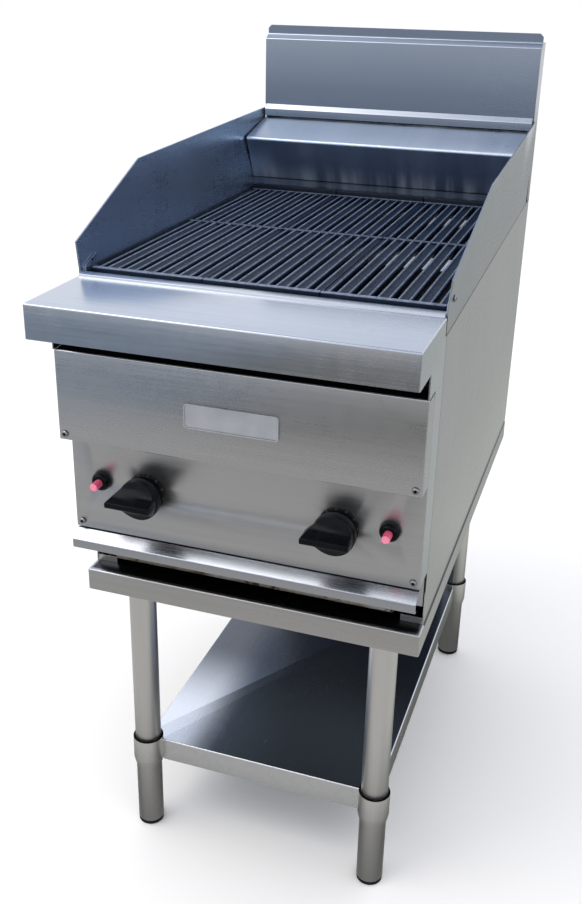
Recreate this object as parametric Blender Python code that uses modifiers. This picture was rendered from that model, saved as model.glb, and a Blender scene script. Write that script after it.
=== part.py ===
"""Gas chargrill, 457 mm wide, on a four-leg stand with an undershelf.

Metres, +Z up.  +X is the right-hand side of someone facing the controls, the
controls face -Y, and the origin is on the floor below the middle of the whole
unit.  Depths are mostly given from the face of the upper front panel: back(d)
turns such a depth, counted towards the rear, into a Y coordinate.
"""

import math

import bmesh
import bpy
from mathutils import Matrix, Vector

# ---------------------------------------------------------------- dimensions
WIDTH = 0.457            # across the ledge, the front panels and the side panels
DEPTH = 0.850            # front edge of the ledge to the outside of the rear panel
HALF = WIDTH / 2
SHEET = 0.0015           # stainless sheet
GUARD_SHEET = 0.002      # splash guards
GAP = 0.0003             # clearance between pieces that touch
OVERLAP = 0.0004         # how far welded pieces run into each other

LEDGE_OVERHANG = 0.059   # ledge in front of the upper front panel
FACE_Y = -DEPTH / 2 + LEDGE_OVERHANG

# stand
STAND_WIDTH = 0.460
STAND_DEPTH = 0.736
STAND_FRONT = 0.049      # behind the upper front panel's face
STAND_TOP = 0.463
STAND_SKIRT = 0.031
LEG_X = 0.175
LEG_FRONT = 0.101
LEG_REAR = 0.704
LEG_RADIUS = 0.019
LEG_WALL = 0.0015
LEG_SIDES = 24
LEG_BOTTOM = 0.0065
FOOT_RADIUS = 0.0186
FOOT_HEIGHT = 0.006
STUD_RADIUS = 0.005
STUD_TOP = 0.062
NUT_BOTTOM = 0.022
NUT_TOP = 0.044
SHELF_HALF = 0.178
SHELF_FRONT = 0.106
SHELF_REAR = 0.699
SHELF_TOP = 0.1507
SHELF_SKIRT = 0.036
SLEEVE_RADIUS = 0.0223
SLEEVE_TOP = 0.159
SLEEVE_SHOULDER = 0.121
SLEEVE_BOTTOM = 0.113

# chassis
BODY_BOTTOM = STAND_TOP + GAP
SIDE_FRONT = 0.0745
BODY_REAR = DEPTH / 2 - FACE_Y
SIDE_TOP_FRONT = 0.845
SIDE_TOP_REAR = 0.868
BASE_FLANGE = 0.030
BASE_LIP = 0.0092
INNER_FRONT = 0.0303     # joggled front of a side, behind the control panel
INNER_BOTTOM = 0.545
INNER_TOP = 0.800
FRONT_FLANGE = 0.022
RUNNER_TOP = 0.528
RUNNER_INSIDE = 0.197

# front panels and ledge
CONTROL_FACE = 0.0285
CONTROL_BOTTOM = 0.541
CONTROL_TOP = 0.785      # the air slot lies between it and the ledge
UPPER_BOTTOM = 0.6765
UPPER_TOP = 0.794
LEDGE_TOP = 0.867
LEDGE_FACE = 0.0425
LEDGE_SIDE_REAR = 0.0662
CHEEK_FRONT = -0.002     # ledge ends, where they run down beside the air slot
LEDGE_UPSTAND = 0.083
BADGE_SIZE = (0.118, 0.0315)
BADGE_CENTRE_Z = 0.7343
BADGE_THICKNESS = 0.003
BADGE_CORNER = 0.004

# splash guards, flue hood and riser
GUARD_FRONT = 0.0715
GUARD_FRONT_TOP = 0.908
GUARD_BREAK = (0.262, 0.980)
GUARD_REAR = (0.7400, 0.9985)
GUARD_REAR_FOOT = 0.7500
GUARD_BEND = 0.874       # above it the guards lean outwards
GUARD_LEAN = (0.095, 0.020)  # outwards per metre of height, in front and at the rear
GUARD_INSIDE = HALF - GUARD_SHEET
INSIDE_HALF = GUARD_INSIDE - GAP
RISER_FACE = 0.739
RISER_TOP = 1.1105
RISER_LIP_TOP = 1.1315
RISER_LIP_BACK = 0.0125
HOOD_EDGE = (0.6406, 0.9606)
HOOD_REAR = (0.737, 0.984)
WALL_FOOT = (0.676, 0.8913)
STRIP_FRONT = 0.678
TONGUE_TOP = 0.8708

# firebox, burners and grates
FIREBOX_HALF = 0.2245
FIREBOX_FRONT = 0.087
FIREBOX_REAR = 0.700
FIREBOX_BOTTOM = 0.600
GRATE_TOP = 0.873
GRATE_HEIGHT = 0.024
GRATE_FRONT = 0.092
GRATE_REAR = 0.674
GRATE_SPACE = 0.0008
GRATE_WIDTH = 0.1474
GRATE_BARS = 5           # and half a bar along each side
GRATE_MIDDLE = 0.393
GRATE_STOP = 0.007       # how far the rear rail stands above the bars
BAR_PITCH = 0.0241
BAR_TOP_WIDTH = 0.0172
BAR_FOOT_WIDTH = 0.006
BAR_DEPTH = 0.0145
BAR_RIM = 0.0026
BAR_CHAMFER = (0.0016, 0.0028)
TROUGH_DEPTH = 0.0035
FIREBOX_TOP = GRATE_TOP - GRATE_HEIGHT - GAP
BURNER_Z = 0.660
BURNER_RADIUS = 0.016
BURNER_FRONT = 0.0855
BURNER_REAR = 0.640
RADIANT_Z = 0.722
RADIANT_RISE = 0.040
RADIANT_HALF = 0.062

# gas train and controls
KNOB_X = 0.126
KNOB_Z = 0.607
KNOB_SKIRT = 0.0268
KNOB_REACH = 0.0335      # axis to the pointer's tip
KNOB_TIP = 0.0030
KNOB_FRONT = -0.0220
BEZEL_RADIUS = 0.0255
IGNITER_X = 0.1885
IGNITER_BEZEL = 0.0122
BUTTON_RADIUS = 0.0052
BUTTON_FRONT = 0.0050
IGNITER_Z = 0.613
MANIFOLD_Y = 0.060
MANIFOLD_Z = 0.5795
MANIFOLD_RADIUS = 0.0135
SUPPLY_X = 0.190
SUPPLY_RADIUS = 0.0105
SPINDLE_RADIUS = 0.0032
PLUG_RADIUS = 0.0066
VALVE_RADIUS = 0.0125
PLUG_FRONT = 0.038
PLUG_END = 0.0765
PLUG_FLOOR = 0.0730
SPINDLE_FRONT = -0.0080
SPINDLE_END = 0.0560

# drip tray
TRAY_HALF = 0.193
TRAY_FRONT = 0.060
TRAY_REAR = 0.690
TRAY_BOTTOM = 0.480
TRAY_TOP = 0.530
LIP_TOP = 0.5386
LIP_EDGE = (0.0133, 0.5284)
LIP_BOTTOM = 0.5161

# screws
SCREW_RADIUS = 0.002
HEAD_RADIUS = 0.0043
HEAD_HEIGHT = 0.0022
FRONT_SCREW_X = 0.2205
CONTROL_SCREW_Z = 0.5490
UPPER_SCREW_Z = 0.6845
GUARD_SCREW_DEPTH = 0.099
GUARD_SCREW_Z = 0.8805

SIDES = (("left", -1), ("right", 1))
ENDS = (("front", LEG_FRONT), ("rear", LEG_REAR))
LEG_PLACES = [(f"{end}_{side}", sign * LEG_X, depth) for end, depth in ENDS for side, sign in SIDES]


# ------------------------------------------------------------------- helpers
def clear_scene():
    for obj in list(bpy.data.objects):
        bpy.data.objects.remove(obj, do_unlink=True)


def make_collection(name):
    collection = bpy.data.collections.new(name)
    bpy.context.scene.collection.children.link(collection)
    return collection


def make_material(name, colour, roughness, metallic):
    material = bpy.data.materials.new(name)
    material.use_nodes = True
    shader = material.node_tree.nodes["Principled BSDF"]
    shader.inputs["Base Color"].default_value = (*colour, 1.0)
    shader.inputs["Roughness"].default_value = roughness
    shader.inputs["Metallic"].default_value = metallic
    return material


def back(depth):
    """Y coordinate of a depth counted from the upper front panel's face."""
    return FACE_Y + depth


def axis_matrix(axis):
    """Rotation that turns local Z to the given direction."""
    return Vector((0, 0, 1)).rotation_difference(Vector(axis)).to_matrix().to_4x4()


def add_object(name, data, location, finish):
    """Link an object; without a finish it is a cutter or a welded-on tool."""
    obj = bpy.data.objects.new(name, data)
    obj.location = location
    if finish is None:
        tools.objects.link(obj)
        obj.hide_render = True
        obj.display_type = "WIRE"
    else:
        parts.objects.link(obj)
        own = finish.copy()
        own.name = name
        data.materials.append(own)
    return obj


def from_bmesh(name, bm, location, finish):
    mesh = bpy.data.meshes.new(name)
    bm.to_mesh(mesh)
    bm.free()
    return add_object(name, mesh, location, finish)


def box(name, x, y, z, finish=None):
    """Block between the pairs x, y and z, with its origin at its centre."""
    centre = Vector(((x[0] + x[1]) / 2, (y[0] + y[1]) / 2, (z[0] + z[1]) / 2))
    size = (x[1] - x[0], y[1] - y[0], z[1] - z[0])
    bm = bmesh.new()
    bmesh.ops.create_cube(bm, size=1.0)
    bmesh.ops.scale(bm, vec=size, verts=bm.verts)
    return from_bmesh(name, bm, centre, finish)


def pan(name, x, y, z, open_sides, finish=None, thickness=SHEET):
    """Folded tray: a block's skin, without the faces that look along open_sides."""
    obj = box(name, x, y, z, finish)
    bm = bmesh.new()
    bm.from_mesh(obj.data)
    bm.normal_update()
    gone = [f for f in bm.faces if any(f.normal.dot(Vector(way)) > 0.9 for way in open_sides)]
    bmesh.ops.delete(bm, geom=gone, context="FACES")
    bm.to_mesh(obj.data)
    bm.free()
    add_thickness(obj, thickness)
    return obj


def add_thickness(obj, thickness, offset=-1.0):
    solidify = obj.modifiers.new("thickness", "SOLIDIFY")
    solidify.thickness = thickness
    solidify.offset = offset
    solidify.use_even_offset = True


def folded(name, profile, half_width, finish=None, thickness=SHEET):
    """Sheet bent to a profile of (depth, z) points, as long as the unit is wide.

    The sheet's thickness lies to the right of the way the profile runs, as
    seen from +X with +Y to the right.
    """
    bm = bmesh.new()
    near = [bm.verts.new((-half_width, back(d), z)) for d, z in profile]
    far = [bm.verts.new((half_width, back(d), z)) for d, z in profile]
    for index in range(len(profile) - 1):
        bm.faces.new((far[index], far[index + 1], near[index + 1], near[index]))
    obj = from_bmesh(name, bm, (0, 0, 0), finish)
    add_thickness(obj, thickness)
    return obj


def plate(name, outline, axis, low, thickness, finish=None):
    """Flat plate: an outline extruded from low along X, Y or Z.

    The outline's points are (depth, z) for X, (x, z) for Y and (x, y) for Z.
    """
    curve = bpy.data.curves.new(name, "CURVE")
    curve.dimensions = "2D"
    curve.fill_mode = "BOTH"
    curve.extrude = thickness / 2
    spline = curve.splines.new("POLY")
    spline.points.add(len(outline) - 1)
    for point, (u, v) in zip(spline.points, outline):
        point.co = (u, v, 0, 1)
    spline.use_cyclic_u = True
    flat = bpy.data.objects.new(name, curve)
    middle = low + thickness / 2
    sideways = Matrix(((0, 0, 1, 0), (1, 0, 0, 0), (0, 1, 0, 0), (0, 0, 0, 1)))
    turns = {
        "X": Matrix.Translation((middle, FACE_Y, 0)) @ sideways,
        "Y": Matrix.Translation((0, middle, 0)) @ Matrix.Rotation(math.pi / 2, 4, "X"),
        "Z": Matrix.Translation((0, 0, middle)),
    }
    return solid_from_curve(name, flat, turns[axis], finish)


def solid_from_curve(name, curve_object, matrix, finish):
    """Closed mesh of a curve object, with its caps welded on."""
    bpy.context.scene.collection.objects.link(curve_object)
    graph = bpy.context.evaluated_depsgraph_get()
    mesh = bpy.data.meshes.new_from_object(curve_object.evaluated_get(graph))
    mesh.name = name
    bpy.data.objects.remove(curve_object)
    bm = bmesh.new()
    bm.from_mesh(mesh)
    bmesh.ops.remove_doubles(bm, verts=bm.verts, dist=0.00001)
    bmesh.ops.recalc_face_normals(bm, faces=bm.faces)
    bm.to_mesh(mesh)
    bm.free()
    mesh.materials.clear()
    obj = add_object(name, mesh, (0, 0, 0), finish)
    obj.matrix_world = matrix
    return obj


def cylinder(name, base, axis, radius, length, finish=None, end_radius=None, sides=24):
    """Cylinder or cone from base along axis, with its origin at its base."""
    bm = bmesh.new()
    bmesh.ops.create_cone(
        bm,
        cap_ends=True,
        segments=sides,
        radius1=radius,
        radius2=radius if end_radius is None else end_radius,
        depth=length,
        matrix=Matrix.Translation((0, 0, length / 2)),
    )
    obj = from_bmesh(name, bm, base, finish)
    obj.rotation_mode = "QUATERNION"
    obj.rotation_quaternion = axis_matrix(axis).to_quaternion()
    smooth(obj)
    return obj


def turned(name, profile, base, axis, finish=None, sides=24, closed=False):
    """Turned piece from (radius, height) points that run down its outer side."""
    bm = bmesh.new()
    ring = [bm.verts.new((radius, 0, height)) for radius, height in profile]
    pairs = list(zip(ring, ring[1:]))
    if closed:
        pairs.append((ring[-1], ring[0]))
    for pair in pairs:
        bm.edges.new(pair)
    obj = from_bmesh(name, bm, base, finish)
    obj.rotation_mode = "QUATERNION"
    obj.rotation_quaternion = axis_matrix(axis).to_quaternion()
    screw = obj.modifiers.new("turn", "SCREW")
    screw.steps = sides
    screw.render_steps = sides
    screw.use_merge_vertices = True
    screw.merge_threshold = 0.00001
    screw.use_smooth_shade = True
    return obj


def smooth(obj, angle=35):
    obj.data.shade_smooth()
    obj.data.set_sharp_from_angle(angle=math.radians(angle))


def boolean(target, operation, pieces):
    for piece in pieces:
        step = target.modifiers.new(f"{operation.lower()} {piece.name}", "BOOLEAN")
        step.operation = operation
        step.solver = "EXACT"
        step.object = piece


def weld(target, *pieces):
    boolean(target, "UNION", pieces)
    return target


def cut(target, *pieces):
    boolean(target, "DIFFERENCE", pieces)
    return target


def drill(target, name, centre, axis, radius, length, sides=16):
    """Round hole through target, centred on a point."""
    base = Vector(centre) - Vector(axis) * (length / 2)
    return cut(target, cylinder(f"{name}_drill", base, axis, radius, length, sides=sides))


def span(sign, inner, outer):
    """Pair of x values of something between inner and outer on one side."""
    return tuple(sorted((sign * inner, sign * outer)))


# --------------------------------------------------------------------- stand
def make_stand_top():
    half = STAND_WIDTH / 2
    depth = (back(STAND_FRONT), back(STAND_FRONT + STAND_DEPTH))
    top = pan("stand_top", (-half, half), depth, (STAND_TOP - STAND_SKIRT, STAND_TOP), [(0, 0, -1)], STEEL)
    for place, x, leg_depth in LEG_PLACES:
        socket_bottom = STAND_TOP - STAND_SKIRT + 0.004
        ring = [
            (LEG_RADIUS + 0.0032, STAND_TOP - SHEET / 2),
            (LEG_RADIUS + 0.0032, socket_bottom),
            (LEG_RADIUS + 0.0004, socket_bottom),
            (LEG_RADIUS + 0.0004, STAND_TOP - SHEET / 2),
        ]
        socket = turned(f"socket_{place}", ring, (x, back(leg_depth), 0), (0, 0, 1), closed=True)
        weld(top, socket)


def make_leg(place, x, depth):
    """Tube with the threaded bush for its foot welded inside its lower end."""
    top = STAND_TOP - SHEET - GAP
    inner = LEG_RADIUS - LEG_WALL
    bore = STUD_RADIUS + GAP
    profile = [
        (LEG_RADIUS, top),
        (LEG_RADIUS, LEG_BOTTOM),
        (inner, LEG_BOTTOM),
        (inner, NUT_BOTTOM),
        (bore, NUT_BOTTOM),
        (bore, NUT_TOP),
        (inner, NUT_TOP),
        (inner, top),
    ]
    turned(f"leg_{place}", profile, (x, back(depth), 0), (0, 0, 1), TUBE, LEG_SIDES, closed=True)


def make_foot(place, x, depth):
    """Screw-in foot: pad on the floor and a stud up into the leg's bush."""
    edge = 0.0012
    profile = [
        (0, STUD_TOP),
        (STUD_RADIUS - 0.001, STUD_TOP),
        (STUD_RADIUS, STUD_TOP - 0.001),
        (STUD_RADIUS, FOOT_HEIGHT),
        (FOOT_RADIUS, FOOT_HEIGHT),
        (FOOT_RADIUS, edge),
        (FOOT_RADIUS - edge, 0),
        (0, 0),
    ]
    turned(f"foot_{place}", profile, (x, back(depth), 0), (0, 0, 1), BLACK, LEG_SIDES)


def make_undershelf():
    """Shelf with turned-down edges and a sleeve round the leg at each corner."""
    shelf = pan(
        "undershelf",
        (-SHELF_HALF, SHELF_HALF),
        (back(SHELF_FRONT), back(SHELF_REAR)),
        (SHELF_TOP - SHELF_SKIRT, SHELF_TOP),
        [(0, 0, -1)],
        STEEL,
    )
    bore = LEG_RADIUS + GAP + 0.0001
    for place, x, depth in LEG_PLACES:
        centre = (x, back(depth), 0)
        notch_radius = SLEEVE_RADIUS - SHEET / 2
        notch = cylinder(f"notch_{place}", centre, (0, 0, 1), notch_radius, SLEEVE_TOP, sides=LEG_SIDES)
        notch.location.z = SHELF_TOP - SHELF_SKIRT - 0.01
        cut(shelf, notch)
    for place, x, depth in LEG_PLACES:
        profile = [
            (SLEEVE_RADIUS, SLEEVE_TOP),
            (SLEEVE_RADIUS, SLEEVE_SHOULDER),
            (LEG_RADIUS + 0.0014, SLEEVE_BOTTOM),
            (bore, SLEEVE_BOTTOM),
            (bore, SLEEVE_TOP),
        ]
        foot = (x, back(depth), 0)
        sleeve = turned(f"sleeve_{place}", profile, foot, (0, 0, 1), sides=LEG_SIDES, closed=True)
        weld(shelf, sleeve)


# ------------------------------------------------------------------- chassis
def make_chassis_side(side, sign):
    """Side panel with its base channel, front and rear flanges and tray runner."""
    outline = [
        (SIDE_FRONT, BODY_BOTTOM),
        (BODY_REAR, BODY_BOTTOM),
        (BODY_REAR, SIDE_TOP_REAR),
        (SIDE_FRONT, SIDE_TOP_FRONT),
    ]
    low = HALF - SHEET if sign > 0 else -HALF
    panel = plate(f"chassis_side_{side}", outline, "X", low, SHEET, STEEL)
    into_panel = HALF - SHEET + OVERLAP
    inner_face = HALF - 2 * SHEET - GAP
    long_run = (back(SIDE_FRONT + 0.001), back(BODY_REAR - 2 * SHEET - GAP))
    flange_inside = HALF - BASE_FLANGE
    base = box(
        f"base_flange_{side}",
        span(sign, flange_inside, into_panel),
        long_run,
        (BODY_BOTTOM, BODY_BOTTOM + SHEET),
    )
    lip = box(
        f"base_lip_{side}",
        span(sign, flange_inside, flange_inside + SHEET),
        long_run,
        (BODY_BOTTOM + SHEET - OVERLAP, BODY_BOTTOM + BASE_LIP),
    )
    cap = box(
        f"base_cap_{side}",
        span(sign, flange_inside + OVERLAP, into_panel),
        (long_run[0], long_run[0] + SHEET),
        (BODY_BOTTOM + SHEET - OVERLAP, BODY_BOTTOM + BASE_LIP),
    )
    joggle = box(
        f"joggle_{side}",
        span(sign, inner_face, HALF - SHEET - GAP),
        (back(INNER_FRONT), back(SIDE_FRONT + 0.022)),
        (INNER_BOTTOM, INNER_TOP),
    )
    seam = box(
        f"joggle_seam_{side}",
        span(sign, inner_face, into_panel),
        (back(SIDE_FRONT + 0.002), back(SIDE_FRONT + 0.021)),
        (INNER_BOTTOM + OVERLAP, INNER_TOP - OVERLAP),
    )
    flange = box(
        f"front_flange_{side}",
        span(sign, HALF - FRONT_FLANGE, inner_face + OVERLAP),
        (back(INNER_FRONT), back(INNER_FRONT + SHEET)),
        (INNER_BOTTOM + OVERLAP, INNER_TOP - OVERLAP),
    )
    rear = box(
        f"rear_flange_{side}",
        span(sign, HALF - FRONT_FLANGE, into_panel),
        (back(BODY_REAR - 2 * SHEET - GAP), back(BODY_REAR - SHEET - GAP)),
        (BODY_BOTTOM + 0.020, SIDE_TOP_REAR - 0.006),
    )
    runner = box(
        f"runner_{side}",
        span(sign, RUNNER_INSIDE, into_panel),
        (back(0.100), back(0.700)),
        (RUNNER_TOP - SHEET, RUNNER_TOP),
    )
    weld(panel, base, lip, cap, joggle, seam, flange, rear, runner)
    for label, z in (("control", CONTROL_SCREW_Z), ("upper", UPPER_SCREW_Z)):
        centre = (sign * FRONT_SCREW_X, back(INNER_FRONT), z)
        drill(panel, f"{label}_screw_flange_{side}", centre, (0, 1, 0), SCREW_RADIUS + GAP, 0.008)


def make_chassis_rear():
    """Rear panel between the sides, with the opening for the gas inlet."""
    half = HALF - SHEET - GAP
    panel = box(
        "chassis_rear",
        (-half, half),
        (back(BODY_REAR - SHEET), back(BODY_REAR)),
        (BODY_BOTTOM + 0.020, SIDE_TOP_REAR),
        STEEL,
    )
    centre = (SUPPLY_X, back(BODY_REAR), MANIFOLD_Z)
    drill(panel, "inlet", centre, (0, 1, 0), SUPPLY_RADIUS + 0.002, 0.010, sides=24)


def make_firebox():
    """Burner box: four walls, the ledges for the grates and for the radiants."""
    wall = FIREBOX_HALF
    firebox = pan(
        "firebox",
        (-wall, wall),
        (back(FIREBOX_FRONT), back(FIREBOX_REAR)),
        (FIREBOX_BOTTOM, FIREBOX_TOP),
        [(0, 0, 1), (0, 0, -1)],
        DARK_STEEL,
    )
    inside = wall - SHEET + OVERLAP
    front_in = FIREBOX_FRONT + SHEET - OVERLAP
    rear_in = FIREBOX_REAR - SHEET + OVERLAP
    grate_ledge = 0.014
    radiant_ledge = 0.030
    ledges = (("grate", FIREBOX_TOP, grate_ledge), ("radiant", RADIANT_Z - GAP, radiant_ledge))
    for label, z, reach in ledges:
        heights = (z - SHEET, z)
        width = (-inside, inside)
        front_run = (back(front_in), back(front_in + reach))
        front = box(f"{label}_ledge_front", width, front_run, heights)
        rear_run = (back(rear_in - reach - 0.012), back(rear_in))
        rear = box(f"{label}_ledge_rear", width, rear_run, heights)
        weld(firebox, front, rear)
    for side, sign in SIDES:
        centre = (sign * KNOB_X, back(FIREBOX_FRONT), BURNER_Z)
        drill(firebox, f"burner_hole_{side}", centre, (0, 1, 0), BURNER_RADIUS + 0.003, 0.010, sides=24)


def make_burner_rail(label, depth):
    """Angle across the firebox that a burner's end lies on."""
    half = FIREBOX_HALF - SHEET - GAP
    top = BURNER_Z - BURNER_RADIUS - GAP
    rail = box(
        f"burner_rail_{label}",
        (-half, half),
        (back(depth), back(depth + 0.025)),
        (top - 0.002, top),
        DARK_STEEL,
    )
    web = box(
        f"burner_rail_web_{label}",
        (-half, half),
        (back(depth), back(depth + 0.002)),
        (top - 0.022, top - 0.002 + OVERLAP),
    )
    weld(rail, web)


# -------------------------------------------------------------- front pieces
def make_front_ledge():
    """Landing ledge: folded top and face, rear upstand and the end cheeks.

    Each cheek closes an end of the ledge and runs down behind the front panels.
    """
    front = -LEDGE_OVERHANG
    bottom = LEDGE_TOP - LEDGE_FACE
    profile = [
        (front + 0.014, bottom),
        (front, bottom),
        (front, LEDGE_TOP),
        (LEDGE_SIDE_REAR, LEDGE_TOP),
    ]
    ledge = folded("front_ledge", profile, HALF, STEEL)
    rise = 0.003
    rear_profile = [
        (LEDGE_SIDE_REAR - 0.006, LEDGE_TOP),
        (LEDGE_SIDE_REAR - 0.002, LEDGE_TOP),
        (LEDGE_SIDE_REAR, LEDGE_TOP + rise),
        (LEDGE_UPSTAND, LEDGE_TOP + rise),
        (LEDGE_UPSTAND, LEDGE_TOP - 0.030),
    ]
    weld(ledge, folded("ledge_upstand", rear_profile, INSIDE_HALF))
    end_outline = [
        (front + OVERLAP, bottom + OVERLAP),
        (CHEEK_FRONT, bottom + OVERLAP),
        (CHEEK_FRONT, UPPER_TOP + GAP),
        (INNER_FRONT, UPPER_TOP + GAP),
        (INNER_FRONT, CONTROL_BOTTOM),
        (SIDE_FRONT - GAP, CONTROL_BOTTOM),
        (SIDE_FRONT - GAP, SIDE_TOP_FRONT),
        (LEDGE_SIDE_REAR, SIDE_TOP_FRONT),
        (LEDGE_SIDE_REAR, LEDGE_TOP - OVERLAP),
        (front + OVERLAP, LEDGE_TOP - OVERLAP),
    ]
    tab_outline = [
        (LEDGE_UPSTAND - OVERLAP - SHEET, LEDGE_TOP - 0.020),
        (GUARD_SCREW_DEPTH + 0.012, LEDGE_TOP - 0.020),
        (GUARD_SCREW_DEPTH + 0.012, GUARD_SCREW_Z + 0.006),
        (LEDGE_UPSTAND - OVERLAP - SHEET, GUARD_SCREW_Z + 0.006 - 0.009),
    ]
    for side, sign in SIDES:
        low = HALF - SHEET if sign > 0 else -HALF
        weld(ledge, plate(f"ledge_end_{side}", end_outline, "X", low, SHEET))
        tab_low = INSIDE_HALF - SHEET if sign > 0 else -INSIDE_HALF
        weld(ledge, plate(f"ledge_tab_{side}", tab_outline, "X", tab_low, SHEET))
        centre = (sign * INSIDE_HALF, back(GUARD_SCREW_DEPTH), GUARD_SCREW_Z)
        drill(ledge, f"tab_hole_{side}", centre, (1, 0, 0), SCREW_RADIUS + GAP, 0.010)


def make_control_panel():
    """Lower front panel: a flat sheet with a stiffening flange along its foot."""
    panel = box(
        "control_panel",
        (-HALF, HALF),
        (back(CONTROL_FACE), back(CONTROL_FACE + SHEET)),
        (CONTROL_BOTTOM, CONTROL_TOP),
        STEEL,
    )
    stiffener = box(
        "control_stiffener",
        (-0.200, 0.200),
        (back(CONTROL_FACE + SHEET - OVERLAP), back(CONTROL_FACE + 0.010)),
        (CONTROL_BOTTOM + OVERLAP, CONTROL_BOTTOM + SHEET),
    )
    weld(panel, stiffener)
    for side, sign in SIDES:
        face = back(CONTROL_FACE + SHEET / 2)
        forward = (0, 1, 0)
        spindle = (sign * KNOB_X, face, KNOB_Z)
        drill(panel, f"spindle_hole_{side}", spindle, forward, 0.010, 0.008, sides=24)
        igniter = (sign * IGNITER_X, face, IGNITER_Z)
        drill(panel, f"igniter_hole_{side}", igniter, forward, 0.0094, 0.008, sides=24)
        for label, z in (("control", CONTROL_SCREW_Z), ("upper", UPPER_SCREW_Z)):
            centre = (sign * FRONT_SCREW_X, face, z)
            drill(panel, f"{label}_screw_face_{side}", centre, forward, SCREW_RADIUS + GAP, 0.008)


def make_upper_panel():
    """Upper front panel, folded like a shallow tray that is open to the rear."""
    panel = pan(
        "upper_front_panel",
        (-HALF, HALF),
        (back(0), back(CONTROL_FACE - GAP)),
        (UPPER_BOTTOM, UPPER_TOP),
        [(0, 1, 0)],
        STEEL,
    )
    for side, sign in SIDES:
        centre = (sign * FRONT_SCREW_X, back(SHEET / 2), UPPER_SCREW_Z)
        drill(panel, f"upper_screw_hole_{side}", centre, (0, 1, 0), SCREW_RADIUS + GAP, 0.008)


def rounded_rectangle(width, height, radius, centre, steps=4):
    """Outline points of a rectangle with round corners."""
    corners = [(1, 1, 0), (-1, 1, 90), (-1, -1, 180), (1, -1, 270)]
    points = []
    for x_sign, y_sign, start in corners:
        cx = centre[0] + x_sign * (width / 2 - radius)
        cy = centre[1] + y_sign * (height / 2 - radius)
        for step in range(steps + 1):
            angle = math.radians(start + 90 * step / steps)
            points.append((cx + radius * math.cos(angle), cy + radius * math.sin(angle)))
    return points


def make_badge():
    """Plain name plate, left blank."""
    outline = rounded_rectangle(*BADGE_SIZE, BADGE_CORNER, (0, BADGE_CENTRE_Z))
    plate("badge_plate", outline, "Y", back(-GAP - BADGE_THICKNESS), BADGE_THICKNESS, LIGHT)


# ------------------------------------------------- guards, hood and riser
def splay(depth, z):
    """How far a guard leans outwards at a point of it."""
    share = (depth - GUARD_BREAK[0]) / (GUARD_REAR_FOOT - GUARD_BREAK[0])
    share = min(max(share, 0.0), 1.0)
    front, rear = GUARD_LEAN
    return max(z - GUARD_BEND, 0.0) * (front + (rear - front) * share)


def along(start, end, share):
    """Point between two points."""
    return (start[0] + (end[0] - start[0]) * share, start[1] + (end[1] - start[1]) * share)


def guard_columns():
    """Foot, bend and top points of a guard, from its front edge to its rear edge."""
    seam = 0.0005
    slope = (SIDE_TOP_REAR - SIDE_TOP_FRONT) / (BODY_REAR - SIDE_FRONT)
    front_top = (GUARD_FRONT, GUARD_FRONT_TOP)
    steps = 4
    tops = [along(front_top, GUARD_BREAK, step / steps) for step in range(steps)]
    tops += [along(GUARD_BREAK, GUARD_REAR, step / steps) for step in range(steps + 1)]
    columns = []
    for top in tops:
        depth = GUARD_REAR_FOOT if top == tops[-1] else top[0]
        foot_z = SIDE_TOP_FRONT + slope * max(depth - SIDE_FRONT, 0.0) + seam
        foot = (depth, foot_z)
        bend = along(foot, top, (GUARD_BEND - foot_z) / (top[1] - foot_z))
        columns.append((foot, bend, top))
    return columns


def make_guard(side, sign):
    """Splash guard: plate that leans outwards, with a tongue behind the side panel."""
    bm = bmesh.new()
    layers = []
    for outside in (HALF, HALF - GUARD_SHEET):
        layer = []
        for column in guard_columns():
            points = [(sign * (outside + splay(d, z)), back(d), z) for d, z in column]
            layer.append([bm.verts.new(point) for point in points])
        layers.append(layer)
    outer, inner = layers
    count = len(outer)
    for index in range(count - 1):
        for row in range(2):
            for layer in layers:
                bm.faces.new((
                    layer[index][row],
                    layer[index + 1][row],
                    layer[index + 1][row + 1],
                    layer[index][row + 1],
                ))
    edge = [(index, 0) for index in range(count)]
    edge += [(count - 1, 1)]
    edge += [(index, 2) for index in reversed(range(count))]
    edge += [(0, 1)]
    for (i, j), (k, m) in zip(edge, edge[1:] + edge[:1]):
        bm.faces.new((outer[i][j], outer[k][m], inner[k][m], inner[i][j]))
    bmesh.ops.triangulate(bm, faces=bm.faces)
    bmesh.ops.recalc_face_normals(bm, faces=bm.faces)
    guard = from_bmesh(f"splash_guard_{side}", bm, (0, 0, 0), STEEL)
    tongue_outer = HALF - SHEET - GAP
    tongue_outline = [
        (0.130, 0.812),
        (GUARD_REAR[0] - 0.010, 0.812),
        (GUARD_REAR[0] - 0.010, TONGUE_TOP),
        (0.130, TONGUE_TOP - 0.018),
    ]
    tongue_low = tongue_outer - SHEET if sign > 0 else -tongue_outer
    weld(guard, plate(f"guard_tongue_{side}", tongue_outline, "X", tongue_low, SHEET))
    centre = (sign * HALF, back(GUARD_SCREW_DEPTH), GUARD_SCREW_Z)
    drill(guard, f"guard_hole_{side}", centre, (1, 0, 0), SCREW_RADIUS + GAP, 0.010)


def make_flue_hood():
    """Sloping deflector, leaning back wall and the strip behind the grates."""
    profile = [
        HOOD_REAR,
        HOOD_EDGE,
        WALL_FOOT,
        (STRIP_FRONT, WALL_FOOT[1] - 0.0015),
        (STRIP_FRONT, TONGUE_TOP + 0.003),
    ]
    folded("flue_hood", profile[::-1], INSIDE_HALF, DARK_STEEL)


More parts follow.
